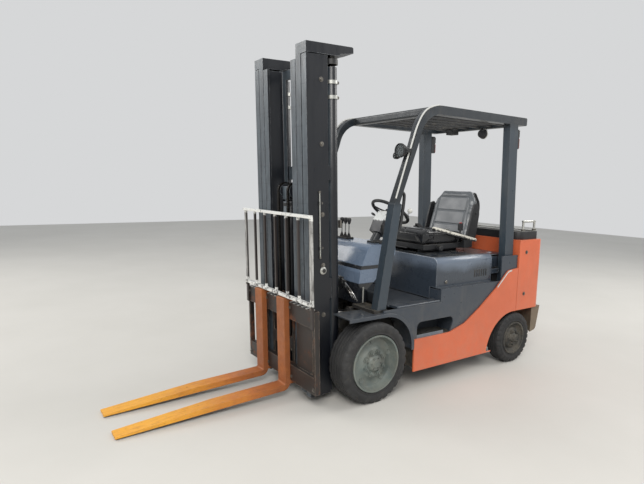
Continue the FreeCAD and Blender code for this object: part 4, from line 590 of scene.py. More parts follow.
CARRIED = {
    # node: look, rounding in metres
    "frame": ("black", 0.003), "side_skirts": ("orange", 0.002), "side_panels": ("slate", 0.002),
    "fenders": ("slate", 0.002), "steps": ("tread", 0.002), "floor_plate": ("mat", 0.002), "cowl": ("cowl", 0.006),
    "overhead_guard": ("guard", 0.009), "roof_bars": ("black", 0.003), "counterweight": ("orange", 0.010),
    "tail_weight": ("tan", 0.008), "rear_cover": ("plastic", 0.008), "tank_bracket": ("zinc", 0.001),
    "tow_pin": ("steel", 0.002), "rear_deck": ("slate", 0.003), "engine": ("engine", 0.01),
    "drive_axle": ("black", 0.003), "steer_axle": ("black", 0.003), "knuckle_left": ("black", 0.002),
    "knuckle_right": ("black", 0.002), "hood": ("hood", 0.004), "seat_base": ("plastic", 0.006),
    "hip_rests": ("hip", 0.005), "steering_column": ("column", 0.003), "mast_outer": ("mast", 0.003),
    "mast_middle": ("mast", 0.002), "mast_inner": ("mast", 0.002), "lift_cylinders": ("mast", 0.002),
    "lift_rods": ("chrome", 0.001), "free_lift_cylinder": ("mast", 0.002), "crosshead": ("mast", 0.002),
    "carriage": ("rusty", 0.003), "backrest": ("rest", 0.002), "fork_left": ("fork", 0.004),
    "fork_right": ("fork", 0.004), "tilt_barrels": ("black", 0.002), "tilt_rods": ("chrome", 0.001),
}


def carry_over():
    for node, (look, width) in CARRIED.items():
        obj = frame["nodes"][node]
        obj.data.materials.clear()
        obj.data.materials.append(LOOKS[look])
        weld = obj.modifiers.new("weld", "WELD")
        weld.merge_threshold = 0.00005
        rounding = obj.modifiers.new("rounding", "BEVEL")
        rounding.width = width
        rounding.segments = 2
        rounding.limit_method = "ANGLE"
        rounding.angle_limit = math.radians(35)
        rounding.harden_normals = True


carry_over()


# Wheels.

def tyre(kind, side):
    """A pressed-on band of solid rubber with fine ring grooves and cuts across its shoulders."""
    node = "%s_tyre_%s" % (kind, side)
    low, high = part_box(node)
    centre = (low + high) / 2
    radius, half = (high.z - low.z) / 2, (high.x - low.x) / 2
    rim_low, rim_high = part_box("%s_rim_%s" % (kind, side))
    seat = (rim_high.z - rim_low.z) / 2 + 0.0004
    shoulder, flank = 0.016, 0.006
    side_line = [(half - 0.010, seat), (half - 0.002, seat + 0.006), (half - flank, seat + 0.016),
                 (half - 0.003, seat + 0.022), (half, (seat + radius) / 2), (half - 0.002, radius - 0.030),
                 (half - 0.003, radius - shoulder), (half - 0.008, radius - 0.006), (half - shoulder, radius - 0.0015)]
    tread = []
    for share in (0.62, 0.3, 0.0):
        x = share * half
        for dx, depth in ((0.005, 0.0), (0.003, 0.004), (-0.003, 0.004), (-0.005, 0.0)):
            tread.append((x + dx, radius - depth))
    upper = side_line + tread
    profile = upper + [(-x, r) for x, r in reversed(upper) if x > 0.004]
    steps = 168
    bm = bmesh.new()
    lathe(bm, profile, steps)
    for v in bm.verts:
        angle = math.atan2(v.co.z, v.co.y) % TURN
        if abs(v.co.x) > half - shoulder - 0.001 and math.hypot(v.co.y, v.co.z) > radius - 0.024:
            if int(round(angle / TURN * steps)) % 6 < 2:
                inward = 1 - 0.004 / radius
                v.co.y *= inward
                v.co.z *= inward
                v.co.x *= 1 - 0.004 / half
    return made("%s_tyre_tread_%s" % (kind, side), bm, "tyre", "%s_wheel_%s" % (kind, side),
                Matrix.Translation(centre), smooth=50, replaces=(node,), origin=centre)


def rim(kind, side):
    """A dished disc with a raised nut circle, hand holes, wheel nuts and a hub cap."""
    node = "%s_rim_%s" % (kind, side)
    low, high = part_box(node)
    tyre_low, tyre_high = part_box("%s_tyre_%s" % (kind, side))
    centre = (tyre_low + tyre_high) / 2
    out = 1 if centre.x > 0 else -1
    radius, half = (high.z - low.z) / 2, (tyre_high.x - tyre_low.x) / 2
    big = kind == "drive"
    nuts, nut_circle, deep = (8, 0.074, 0.050) if big else (5, 0.055, 0.034)
    band = radius - 0.014
    cap = 0.052 if big else 0.034
    profile = [(half - 0.003, radius - 0.001), (half - 0.002, radius - 0.004), (half - 0.003, band + 0.001),
               (half - 0.010, band - 0.001), (half - deep * 0.6, band - 0.004), (half - deep, band - 0.016),
               (half - deep - 0.004, band - 0.032), (half - deep + 0.002, nut_circle + 0.034),
               (half - deep + 0.016, nut_circle + 0.022), (half - deep + 0.020, nut_circle + 0.014),
               (half - deep + 0.020, cap + 0.006), (half - deep + 0.032, cap), (half - deep + 0.040, cap - 0.008),
               (half - deep + 0.043, cap * 0.5), (half - deep + 0.043, 0.0)]
    back = [(x - 0.008, max(r - 0.004, 0.0)) for x, r in profile[7:-1]]
    inner = [(half - deep + 0.035, 0.0)] + list(reversed(back)) + [
        (half - deep - 0.012, band - 0.034), (half - deep - 0.008, band - 0.014), (-half + 0.006, band - 0.006),
        (-half + 0.004, radius - 0.001)]
    bm = bmesh.new()
    mirror = Matrix.Scale(out, 4, (1, 0, 0))
    lathe(bm, [(x, r) for x, r in profile + inner if r > 0] , 96, mirror)
    for i in range(nuts):
        a = TURN * (i + 0.5) / nuts
        place = Vector((out * (half - deep + 0.020), nut_circle * math.cos(a), nut_circle * math.sin(a)))
        bolt(bm, place, (out, 0, 0), 0.013 if big else 0.010, 0.012)
        lathe(bm, [(0.012, 0.0), (0.012, 0.006), (0.024, 0.006), (0.024, 0.0)], 10, turned_to((out, 0, 0), place),
              closed=False)
    face = out * (half - deep + 0.043)
    lathe(bm, [(0, 0), (0, cap * 0.55), (0.003, cap * 0.5), (0.004, 0)], 40, turned_to((out, 0, 0), (face, 0, 0)),
          closed=False)
    for i in range(6):
        a = TURN * i / 6
        bolt(bm, (face - out * 0.001, cap * 0.72 * math.cos(a), cap * 0.72 * math.sin(a)), (out, 0, 0), 0.0045, 0.003)
    if big:
        for i in range(5):
            a = TURN * (i + 0.25) / 5
            r = (band + nut_circle) / 2 + 0.014
            lathe(bm, [(0.0, 0.0), (0.0, 0.012), (0.003, 0.0165), (0.0035, 0.019), (0.0, 0.0205), (-0.002, 0.020)], 20,
                  turned_to((out, 0, 0), (out * (half - deep - 0.0025), r * math.cos(a), r * math.sin(a))), closed=False)
    return made("%s_rim_disc_%s" % (kind, side), bm, "rim" if big else "rim_dark", "%s_wheel_%s" % (kind, side),
                Matrix.Translation(centre), smooth=40, replaces=(node,), origin=centre)


for kind in ("drive", "steer"):
    for side in ("left", "right"):
        tyre(kind, side)
        rim(kind, side)


# Seat: stuffed pads swollen by simulation, then seams, a moulded shell and a belt.

def raw(name, bm, matrix=TRUCK):
    """A bmesh as an object that has no look yet."""
    mesh = bpy.data.meshes.new(name)
    bmesh.ops.recalc_face_normals(bm, faces=bm.faces)
    bm.to_mesh(mesh)
    bm.free()
    mesh.transform(matrix)
    obj = bpy.data.objects.new(name, mesh)
    bpy.context.scene.collection.objects.link(obj)
    return obj


def carried_out(obj):
    """The object's modifiers become part of its mesh."""
    bpy.context.view_layer.update()
    mesh = bpy.data.meshes.new_from_object(obj.evaluated_get(bpy.context.evaluated_depsgraph_get()))
    old = obj.data
    obj.modifiers.clear()
    obj.data = mesh
    bpy.data.meshes.remove(old)


def swell(obj, cap, pressure=4.0, voxel=0.006):
    """Stuffs a closed shape: it is remeshed and blown up as cloth, and no point moves further than the cap."""
    remesh = obj.modifiers.new("remesh", "REMESH")
    remesh.mode = "VOXEL"
    remesh.voxel_size = voxel
    carried_out(obj)
    scene = bpy.context.scene
    rest = [v.co.copy() for v in obj.data.vertices]
    cloth = obj.modifiers.new("cloth", "CLOTH")
    cloth.settings.use_pressure = True
    cloth.settings.uniform_pressure_force = pressure
    cloth.settings.effector_weights.gravity = 0
    for number in range(1, 21):
        scene.frame_set(number)
    carried_out(obj)
    scene.frame_set(1)
    for v, start in zip(obj.data.vertices, rest):
        step = v.co - start
        if step.length > cap:
            v.co = start + step * (cap / step.length)
    smooth = obj.modifiers.new("smooth", "SMOOTH")
    smooth.factor = 0.5
    smooth.iterations = 8
    carried_out(obj)
    finer = obj.modifiers.new("finer", "SUBSURF")
    finer.levels = finer.render_levels = 1
    carried_out(obj)


def crease(obj, distance, depth, width):
    """Pulls the surface in along a sewn line. distance gives how far a point is from that line."""
    moves = []
    for v in obj.data.vertices:
        away = distance(v.co, v.normal)
        if away < width:
            moves.append((v.index, v.normal * (-depth * (1 - away / width) ** 1.5)))
    for index, move in moves:
        obj.data.vertices[index].co += move


def piping(name, pad, ring, radius, look, body):
    """A round seam laid on a pad along a closed ring of places."""
    tree = BVHTree.FromObject(pad, bpy.context.evaluated_depsgraph_get())
    spots = [tree.find_nearest(spot)[0] for spot in ring]
    return hose(name, spots, radius, look, body, Matrix(), closed=True)


def ring_distance(u, v, us, vs):
    """Distance from a point to the outline of a rectangle in the same plane."""
    du = max(us[0] - u, u - us[1])
    dv = max(vs[0] - v, v - vs[1])
    return abs(max(du, dv)) if du < 0 or dv < 0 else math.hypot(du, dv)


def seat_cushion():
    low, high = (v - Vector((0, AXLE.y, 0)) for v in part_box("seat_cushion"))
    inset = 0.010
    bm = bmesh.new()
    prism(bm, [(low.y + inset, low.z + 0.004), (high.y - inset, low.z + 0.004), (high.y - inset, high.z - 0.046),
               (low.y + 0.16, high.z - 0.022), (low.y + 0.05, high.z - inset), (low.y + inset, high.z - 0.040)],
          low.x + inset, high.x - inset)
    bmesh.ops.bevel(bm, geom=bm.edges[:], offset=0.018, segments=3, profile=0.6, affect="EDGES")
    pad = raw("seat_pad", bm)
    swell(pad, 0.012)
    us, vs = (low.x + 0.075, high.x - 0.075), (low.y + 0.06 + AXLE.y, high.y + 0.2 + AXLE.y)
    crease(pad, lambda p, n: ring_distance(p.x, p.y, us, vs) if n.z > 0.3 else 1.0, 0.006, 0.012)
    for share in (0.42, 0.68):
        y = low.y + (high.y - low.y) * share + AXLE.y
        crease(pad, lambda p, n: abs(p.y - y) if n.z > 0.3 and us[0] < p.x < us[1] else 1.0, 0.005, 0.011)
    dress(pad, "seat_black", "hood", smooth=60, replaces=("seat_cushion",))
    z = high.z - 0.035
    ring = [TRUCK @ Vector((x, y, z)) for x, y in rounded((low.x, high.x), (low.y, high.y), 0.05, 6)]
    piping("seat_pad_seam", pad, ring, 0.0032, "seat_black", "hood")
    return pad


def seat_back():
    low, high = (v - Vector((0, AXLE.y, 0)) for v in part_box("seat_back"))
    foot, head = Vector((0, low.y, low.z)), Vector((0, low.y + 0.130, high.z))
    up = (head - foot).normalized()
    leant = TRUCK @ Matrix.Translation(foot) @ Matrix.Rotation(-math.atan2(up.y, up.z), 4, "X")
    tall, half, neck = (head - foot).length, high.x, high.x - 0.09
    inset = 0.012
    outline = [(-half + inset, inset), (half - inset, inset), (half - inset, tall - 0.16), (half - 0.03, tall - 0.10),
               (neck, tall - inset - 0.008), (-neck, tall - inset - 0.008), (0.03 - half, tall - 0.10),
               (inset - half, tall - 0.16)]
    bm = bmesh.new()
    prism(bm, outline, inset, 0.070, "XZ")
    bmesh.ops.bevel(bm, geom=bm.edges[:], offset=0.018, segments=3, profile=0.6, affect="EDGES")
    pad = raw("seat_back_pad", bm, leant)
    swell(pad, 0.012)
    back = leant.inverted()
    us, vs = (-half + 0.085, half - 0.085), (-0.2, tall - 0.085)

    def panel(p, n):
        spot = back @ p
        return ring_distance(spot.x, spot.z, us, vs) if spot.y < 0.035 else 1.0

    def channel(height):
        def away(p, n):
            spot = back @ p
            return abs(spot.z - height) if spot.y < 0.035 and us[0] < spot.x < us[1] else 1.0
        return away

    crease(pad, panel, 0.006, 0.012)
    for share in (0.30, 0.55):
        crease(pad, channel(tall * share), 0.005, 0.011)
    dress(pad, "seat_grey", "hood", smooth=60, replaces=("seat_back",))
    ring = [leant @ Vector((x, 0.041, z)) for x, z in outline]
    smooth_ring = [ring[i].lerp(ring[(i + 1) % len(ring)], t) for i in range(len(ring)) for t in (0.15, 0.5, 0.85)]
    piping("seat_back_seam", pad, smooth_ring, 0.0032, "seat_black", "hood")
    shell = bmesh.new()
    prism(shell, [(x * 0.985, z * 0.985 + 0.002) for x, z in outline], 0.074, 0.092, "XZ")
    bmesh.ops.bevel(shell, geom=shell.edges[:], offset=0.007, segments=2, affect="EDGES")
    for i in range(5):
        z = 0.10 + 0.045 * i
        block(shell, (-0.12, 0.091, z), (0.12, 0.096, z + 0.016))
    return made("seat_back_shell", shell, "plastic", "hood", leant, 0.002)


def seat_trim():
    """Belt reel, belt, buckle, adjusting knob and the folds of rubber under the pan."""
    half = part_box("seat_cushion")[1].x
    base_low, base_high = (v - Vector((0, AXLE.y, 0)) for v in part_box("seat_base"))
    bm = bmesh.new()
    prism(bm, rounded((1.075, 1.135), (0.985, 1.065), 0.015), -half - 0.050, -half - 0.006)
    bar(bm, (half - 0.02, 1.06, 0.945), (half + 0.018, 1.055, 1.075), 0.006)
    prism(bm, rounded((1.035, 1.075), (1.070, 1.128), 0.008), half + 0.006, half + 0.026)
    bar(bm, (half - 0.04, 0.84, 0.94), (half + 0.028, 0.84, 0.94), 0.022, 24, 0.005)
    bar(bm, (-0.06, base_low.y - 0.012, 0.93), (0.06, base_low.y - 0.012, 0.93), 0.007)
    for i in range(4):
        z = base_low.z + 0.024 + 0.008 * i
        prism(bm, rounded((-0.205 + 0.004 * (i % 2), 0.205 - 0.004 * (i % 2)), (0.71, 1.17), 0.03), z, z + 0.006, "XY")
    made("seat_fittings", bm, "plastic", "hood", round_off=0.002)
    bm = bmesh.new()
    prism(bm, rounded((1.044, 1.066), (1.127, 1.134), 0.003), half + 0.010, half + 0.022)
    made("belt_button", bm, "red", "hood", round_off=0.001)


def strap(name, spots, width, across, look, body):
    """A flat strip through a few places, as wide as given along a direction."""
    bm = bmesh.new()
    side = Vector(across).normalized() * (width / 2)
    rows = []
    for i, spot in enumerate(spots):
        here = Vector(spot)
        ahead = Vector(spots[min(i + 1, len(spots) - 1)]) - Vector(spots[max(i - 1, 0)])
        lift = ahead.cross(side).normalized() * 0.0012
        rows.append([bm.verts.new(here + a + b) for a, b in ((side, lift), (-side, lift), (-side, -lift), (side, -lift))])
    for here, ahead in zip(rows, rows[1:]):
        for k in range(4):
            n = (k + 1) % 4
            bm.faces.new([here[k], here[n], ahead[n], ahead[k]])
    bm.faces.new(rows[0])
    bm.faces.new(rows[-1])
    return made(name, bm, look, body, Matrix(), smooth=60)


def seat_belt(pad):
    """The belt lies across the cushion from its reel to its tongue."""
    tree = BVHTree.FromObject(pad, bpy.context.evaluated_depsgraph_get())
    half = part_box("seat_cushion")[1].x
    y = 1.090 + AXLE.y
    spots = [(-half - 0.028, y + 0.01, 1.062), (-half - 0.022, y + 0.006, 1.085)]
    for i in range(13):
        x = -half + 0.016 + 0.027 * i
        hit = tree.ray_cast(Vector((x, y - 0.004 * i, 1.3)), Vector((0, 0, -1)))[0]
        if hit is not None:
            spots.append((x, y - 0.004 * i, hit.z + 0.0022))
    strap("seat_belt", spots, 0.046, (0, 1, 0.0), "webbing", "hood")
    end = Vector(spots[-1])
    bm = bmesh.new()
    prism(bm, rounded((end.x - 0.01, end.x + 0.035), (end.y - 0.026, end.y + 0.026), 0.008), end.z, end.z + 0.008, "XY")
    made("belt_tongue", bm, "zinc", "hood", Matrix(), 0.001)


cushion = seat_cushion()
seat_back()
seat_trim()
seat_belt(cushion)


# Controls.

HUB = Vector((0, 0.540, 1.210))
COLUMN = TRUCK @ Matrix.Translation(HUB) @ Matrix.Rotation(math.radians(-35), 4, "X")


def ring_tube(bm, radius, thickness, steps, around, shape=lambda a, b: 1.0):
    """A ring about Z whose thickness varies with the angle along it and the angle around it."""
    rows = []
    for i in range(steps):
        a = TURN * i / steps
        row = []
        for k in range(around):
            b = TURN * k / around
            r = thickness * shape(a, b)
            out = radius + r * math.cos(b)
            row.append(bm.verts.new((out * math.cos(a), out * math.sin(a), r * math.sin(b))))
        rows.append(row)
    for i in range(steps):
        here, ahead = rows[i], rows[(i + 1) % steps]
        for k in range(around):
            n = (k + 1) % around
            bm.faces.new([here[k], here[n], ahead[n], ahead[k]])


def steering_wheel():
    """Rim with finger grips below, three dished spokes, a hub with a ringed horn button, and a spinner knob."""
    low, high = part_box("steering_wheel")
    radius, grip = (high.x - low.x) / 2 - 0.013, 0.0125
    bm = bmesh.new()
    ring_tube(bm, radius, grip, 192, 20, lambda a, b: 1 - 0.10 * max(0.0, -math.sin(b)) * (0.5 + 0.5 * math.cos(48 * a)))
    for angle in (90, 210, 330):
        turn = Matrix.Rotation(math.radians(angle), 4, "Z")
        rows = []
        for i in range(9):
            t = i / 8
            x = 0.024 + (radius - 0.026) * t
            wide = 0.017 - 0.007 * math.sin(math.pi * min(1.0, t * 1.1))
            z = -0.012 + 0.010 * t * t
            rows.append([bm.verts.new(turn @ Vector((x, y, z + dz))) for y, dz in
                         ((-wide, 0.0), (-wide * 0.55, 0.005), (wide * 0.55, 0.005), (wide, 0.0), (0.0, -0.006))])
        for here, ahead in zip(rows, rows[1:]):
            for k in range(5):
                n = (k + 1) % 5
                bm.faces.new([here[k], here[n], ahead[n], ahead[k]])
    upward = turned_to((0, 0, 1), (0, 0, 0))
    lathe(bm, [(-0.022, 0.0), (-0.022, 0.030), (-0.010, 0.037), (0.000, 0.038), (0.006, 0.034), (0.007, 0.027),
               (0.005, 0.025), (0.009, 0.022), (0.011, 0.012), (0.011, 0.0)], 40, upward, closed=False)
    made("steering_wheel_rim", bm, "plastic", "steering_wheel", COLUMN, smooth=50, replaces=("steering_wheel",))
    spot = (radius * math.cos(math.radians(20)), radius * math.sin(math.radians(20)), 0)
    bm = bmesh.new()
    lathe(bm, [(0.008, 0.0), (0.008, 0.009), (0.030, 0.006), (0.034, 0.006), (0.034, 0.0)], 20,
          turned_to((0, 0, 1), spot), closed=False)
    ring = [(-0.006, grip + 0.0015), (0.006, grip + 0.0015), (0.006, grip + 0.004), (-0.006, grip + 0.004)]
    lathe(bm, ring, 24, turned_to((-math.sin(math.radians(20)), math.cos(math.radians(20)), 0), spot))
    made("spinner_stem", bm, "chrome", "steering_wheel", COLUMN, smooth=50)
    bm = bmesh.new()
    profile = [(0.034 + 0.019 * (1 - math.cos(a)), 0.019 * math.sin(a) + 0.001) for a in
               (math.pi * i / 10 for i in range(11))]
    lathe(bm, [(0.034, 0.0)] + profile[1:-1] + [(0.072, 0.0)], 28, turned_to((0, 0, 1), spot), closed=False)
    made("spinner_knob", bm, "white", "steering_wheel", COLUMN, smooth=60)


def levers():
    """Three chromed stems in folded rubber boots on one plate, each with a pear-shaped knob."""
    low, high = (v - Vector((0, AXLE.y, 0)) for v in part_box("control_levers"))
    y, foot, top = (low.y + high.y) / 2, low.z, high.z
    places = [low.x + 0.027 + 0.045 * i for i in range(3)]
    plate, stems, knobs = bmesh.new(), bmesh.new(), bmesh.new()
    prism(plate, rounded((low.x, high.x), (low.y, high.y), 0.012), foot, foot + 0.010, "XY")
    for x in places:
        up = turned_to((0, 0, 1), (x, y, foot))
        folds = []
        for i in range(4):
            r = 0.019 - 0.0028 * i
            folds += [(0.010 + 0.008 * i, r), (0.014 + 0.008 * i, r - 0.004)]
        lathe(plate, folds + [(0.046, 0.0065), (0.047, 0.0)], 24, up, closed=False)
        bar(stems, (x, y, foot + 0.02), (x, y, top - 0.030), 0.0048, 16)
        lathe(knobs, [(0.112, 0.0), (0.112, 0.008), (0.120, 0.0105), (0.135, 0.0155), (0.150, 0.0165), (0.157, 0.013),
                      (0.159, 0.006), (0.159, 0.0)], 24, up, closed=False)
    for x, z in ((low.x + 0.009, 0), (high.x - 0.009, 0)):
        for dy in (-0.024, 0.024):
            bolt(plate, (x, y + dy, foot + 0.010), (0, 0, 1), 0.004, 0.003)
    made("lever_boots", plate, "rubber", "chassis", round_off=0.001, replaces=("control_levers",))
    made("lever_stems", stems, "chrome", "chassis")
    made("lever_knobs", knobs, "plastic", "chassis", smooth=60)


def column_trim():
    """A pale lid with gauges over the column's head, the direction stalk, the key and the parking brake."""
    head = Matrix.Rotation(math.radians(-35), 4, "X")
    bm = bmesh.new()
    for x in (-0.030, 0.030):
        bolt(bm, (x, 0.020, -0.110), (0, 1, 0), 0.005, 0.004)
    bar(bm, (-0.055, 0.0, -0.075), (-0.150, -0.010, -0.045), 0.0055)
    bar(bm, (0.055, 0.0, -0.075), (0.145, -0.010, -0.050), 0.0055)
    lathe(bm, [(0, 0), (0, 0.008), (0.012, 0.010), (0.034, 0.008), (0.037, 0)], 20,
          turned_to((-0.95, -0.1, 0.3), (-0.146, -0.010, -0.046)), closed=False)
    lathe(bm, [(0, 0), (0, 0.008), (0.012, 0.010), (0.034, 0.008), (0.037, 0)], 20,
          turned_to((0.95, -0.1, 0.3), (0.141, -0.010, -0.051)), closed=False)
    made("column_stalks", bm, "plastic", "chassis", COLUMN, smooth=50)
    bm = bmesh.new()
    prism(bm, rounded((-0.052, 0.052), (-0.052, 0.040), 0.012), -0.040, -0.026, "XY")
    made("column_lid", bm, "white", "chassis", COLUMN, 0.003)
    bm = bmesh.new()
    bar(bm, (0.225, 0.300, 0.985), (0.225, 0.280, 1.075), 0.007)
    lathe(bm, [(0, 0), (0, 0.010), (0.010, 0.013), (0.062, 0.012), (0.070, 0.006), (0.071, 0)], 20,
          turned_to((0, -0.2, 0.98), (0.225, 0.281, 1.070)), closed=False)
    prism(bm, rounded((0.205, 0.245), (0.255, 0.345), 0.010), 0.998, 1.006, "XY")
    made("parking_brake", bm, "rubber", "chassis", smooth=50)
    bm = bmesh.new()
    prism(bm, rounded((0.095, 0.185), (0.235, 0.345), 0.012), 0.9985, 1.012, "XY")
    for i in range(3):
        bar(bm, (0.115 + 0.025 * i, 0.325, 1.010), (0.115 + 0.025 * i, 0.325, 1.018), 0.007)
    bar(bm, (0.160, 0.262, 1.010), (0.160, 0.262, 1.022), 0.010)
    made("switch_panel", bm, "plastic", "chassis", round_off=0.0015)
    bm = bmesh.new()
    for i in range(2):
        prism(bm, rounded((0.104, 0.140), (0.247 + 0.032 * i, 0.272 + 0.032 * i), 0.004), 1.0115, 1.0135, "XY")
    made("switch_panel_windows", bm, "lens", "chassis")


def pedals():
    """Inching, brake and drive pedals on their arms, each with a ribbed rubber pad."""
    arms, pads = bmesh.new(), bmesh.new()
    for x, wide, tall, y, z in ((0.115, 0.034, 0.030, 0.265, 0.725), (0.010, 0.046, 0.028, 0.262, 0.728),
                                (-0.115, 0.026, 0.062, 0.248, 0.690)):
        lean = Matrix.Translation((x, y, z)) @ Matrix.Rotation(math.radians(38), 4, "X")
        prism_at(arms, rounded((-wide, wide), (-tall, tall), 0.006), -0.004, 0.002, lean)
        prism_at(pads, rounded((-wide - 0.002, wide + 0.002), (-tall - 0.002, tall + 0.002), 0.008), 0.002, 0.008, lean)
        for i in range(5):
            v = -tall + (i + 0.5) * tall * 0.4
            prism_at(pads, rounded((-wide + 0.006, wide - 0.006), (v - 0.0022, v + 0.0022), 0.001), 0.008, 0.0115, lean)
        bar(arms, (x, y - 0.012, z), (x, y - 0.060, z + 0.130), 0.007)
        bar(arms, (x - 0.014, y - 0.060, z + 0.130), (x + 0.014, y - 0.060, z + 0.130), 0.012)
    made("pedal_arms", arms, "black", "chassis", smooth=40)
    made("pedal_pads", pads, "rubber", "chassis", round_off=0.001)


def prism_at(bm, outline, low, high, matrix):
    """A flat shape of some thickness, placed by a matrix: the outline lies in its XY plane."""
    lower = [bm.verts.new(matrix @ Vector((u, v, low))) for u, v in outline]
    upper = [bm.verts.new(matrix @ Vector((u, v, high))) for u, v in outline]
    count = len(outline)
    bm.faces.new(lower)
    bm.faces.new(upper)
    for i in range(count):
        n = (i + 1) % count
        bm.faces.new([lower[i], lower[n], upper[n], upper[i]])


steering_wheel()
levers()
column_trim()
pedals()


# Lamps.

def lamps():
    """Work lamps with a ribbed shell, a rim, a fluted glass and a bracket, and a small marker lamp beside each."""
    low, high = (v - Vector((0, AXLE.y, 0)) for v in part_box("lamps"))
    z, y = (low.z + high.z) / 2, low.y
    shells, glass, bowls = bmesh.new(), bmesh.new(), bmesh.new()
    for x in (high.x - 0.046, low.x + 0.046):
        back = turned_to((0, 1, 0), (x, y, z))
        lathe(shells, [(0.006, 0.041), (0.000, 0.042), (0.000, 0.046), (0.014, 0.0465), (0.016, 0.043), (0.030, 0.040),
                       (0.032, 0.037), (0.044, 0.033), (0.046, 0.028), (0.054, 0.022), (0.056, 0.0)], 40, back,
              closed=False)
        lathe(glass, [(0.005, 0.0), (0.0055, 0.020), (0.007, 0.041), (0.009, 0.041), (0.0075, 0.020), (0.007, 0.0)], 40,
              back, closed=False)
        lathe(bowls, [(0.010, 0.040), (0.020, 0.034), (0.030, 0.022), (0.034, 0.008), (0.028, 0.006), (0.028, 0.0)], 32,
              back, closed=False)
        bar(shells, (x, y + 0.050, z), (x, y + 0.105, z), 0.010)
        for side in (-1, 1):
            block(shells, (x + side * 0.047 - 0.002, y + 0.010, z - 0.012), (x + side * 0.047 + 0.002, y + 0.062, z + 0.012))
            bolt(shells, (x + side * 0.049, y + 0.022, z), (side, 0, 0), 0.005, 0.004)
        block(shells, (x - 0.049, y + 0.060, z - 0.012), (x + 0.049, y + 0.064, z + 0.012))
        inner = -1 if x > 0 else 1
        spot = (x + inner * 0.072, y + 0.030, z - 0.030)
        lathe(shells, [(0.0, 0.019), (0.0, 0.022), (0.020, 0.023), (0.034, 0.018), (0.036, 0.0)], 28,
              turned_to((0, 1, 0), spot), closed=False)
        lathe(glass, [(-0.004, 0.0), (-0.003, 0.012), (0.003, 0.019), (0.006, 0.0)], 28, turned_to((0, 1, 0), spot),
              closed=False)
        bar(shells, spot, (x + inner * 0.01, y + 0.075, z - 0.010), 0.006)
    made("lamp_shells", shells, "plastic", "chassis", smooth=50, replaces=("lamps",))
    made("lamp_bowls", bowls, "chrome", "chassis", smooth=50)
    made("lamp_glasses", glass, "lens", "chassis", smooth=50)


def tail_lamps():
    """Stop and turn lamps at the rear pillars' tops, a reversing lamp, and a horn and a box under the roof."""
    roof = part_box("overhead_guard")[1]
    half, y, z = 0.440, 1.500, 1.790
    bodies, red, clear = bmesh.new(), bmesh.new(), bmesh.new()
    for side in (-1, 1):
        x = side * half
        block(bodies, (x - 0.022, 1.392, z - 0.075), (x + 0.022, 1.440, z + 0.075))
        prism(red, rounded((x - 0.019, x + 0.019), (z - 0.070, z + 0.008), 0.006), 1.438, 1.450, "XZ")
        prism(clear, rounded((x - 0.019, x + 0.019), (z + 0.014, z + 0.070), 0.006), 1.438, 1.449, "XZ")
    made("tail_lamp_bodies", bodies, "plastic", "chassis", round_off=0.003)
    made("tail_lamp_red", red, "red_lens", "chassis", round_off=0.002)
    made("tail_lamp_clear", clear, "lens", "chassis", round_off=0.002)
    hung, ring, face = bmesh.new(), bmesh.new(), bmesh.new()
    spot = turned_to((0, 1, 0), (0.120, 1.400, 1.855))
    lathe(hung, [(0.0, 0.0), (0.0, 0.030), (0.020, 0.038), (0.038, 0.040), (0.038, 0.034), (0.030, 0.033), (0.030, 0.0)],
          32, spot, closed=False)
    block(hung, (0.112, 1.405, 1.885), (0.128, 1.425, 1.907))
    block(hung, (-0.22, 1.360, 1.862), (-0.14, 1.430, 1.907))
    made("roof_horn_and_box", hung, "plastic", "chassis", round_off=0.002)
    lathe(ring, [(0.036, 0.036), (0.044, 0.037), (0.044, 0.042), (0.036, 0.043)], 32, spot)
    made("rear_lamp_ring", ring, "white", "chassis", smooth=50)
    lathe(face, [(0.031, 0.0), (0.033, 0.015), (0.031, 0.033), (0.030, 0.0)], 32, spot, closed=False)
    made("rear_lamp_glass", face, "lens", "chassis", smooth=50)


lamps()
tail_lamps()


# Mast, chains and carriage.

def leaf_chains():
    """Leaf chains: side plates laced in turn over pins, over the sheaves and down behind."""
    low, reach, pitch, y = 0.0, 0.0523, 0.0159, -0.312
    sheave = 1.110
    front = sheave - 0.092
    arc = math.pi * reach

    def spot(s):
        if s < front:
            return -reach, 0.092 + s, 0.0, 1.0
        if s < front + arc:
            a = math.pi - (s - front) / reach
            return reach * math.cos(a), sheave + reach * math.sin(a), math.sin(a), -math.cos(a)
        return reach, sheave - (s - front - arc), 0.0, -1.0

    count = int((front + arc + sheave - 0.008) / pitch)
    plate = []
    for i in range(8):
        a = math.pi * (i / 7 - 0.5)
        plate.append((pitch / 2 + 0.0058 * math.cos(a), 0.0058 * math.sin(a)))
    plate = plate + [(-u, -v) for u, v in plate]
    bm = bmesh.new()
    for x in (-0.061, 0.061):
        for i in range(count):
            v0, w0, _, _ = spot(i * pitch + 0.004)
            v1, w1, _, _ = spot((i + 1) * pitch + 0.004)
            centre = Vector(((v0 + v1) / 2, (w0 + w1) / 2))
            along = Vector((v1 - v0, w1 - w0)).normalized()
            outline = [(y + centre.x + along.x * u - along.y * v, centre.y + along.y * u + along.x * v)
                       for u, v in plate]
            for k in range(i % 2, 7, 2):
                start = x - 0.0098 + 0.0028 * k
                prism(bm, outline, start, start + 0.0026)
            bar(bm, (x - 0.0099, y + v0, w0), (x + 0.0099, y + v0, w0), 0.0030, 8)
    return made("leaf_chains", bm, "chain", "crosshead", MAST, smooth=30, replaces=("lift_chains",))


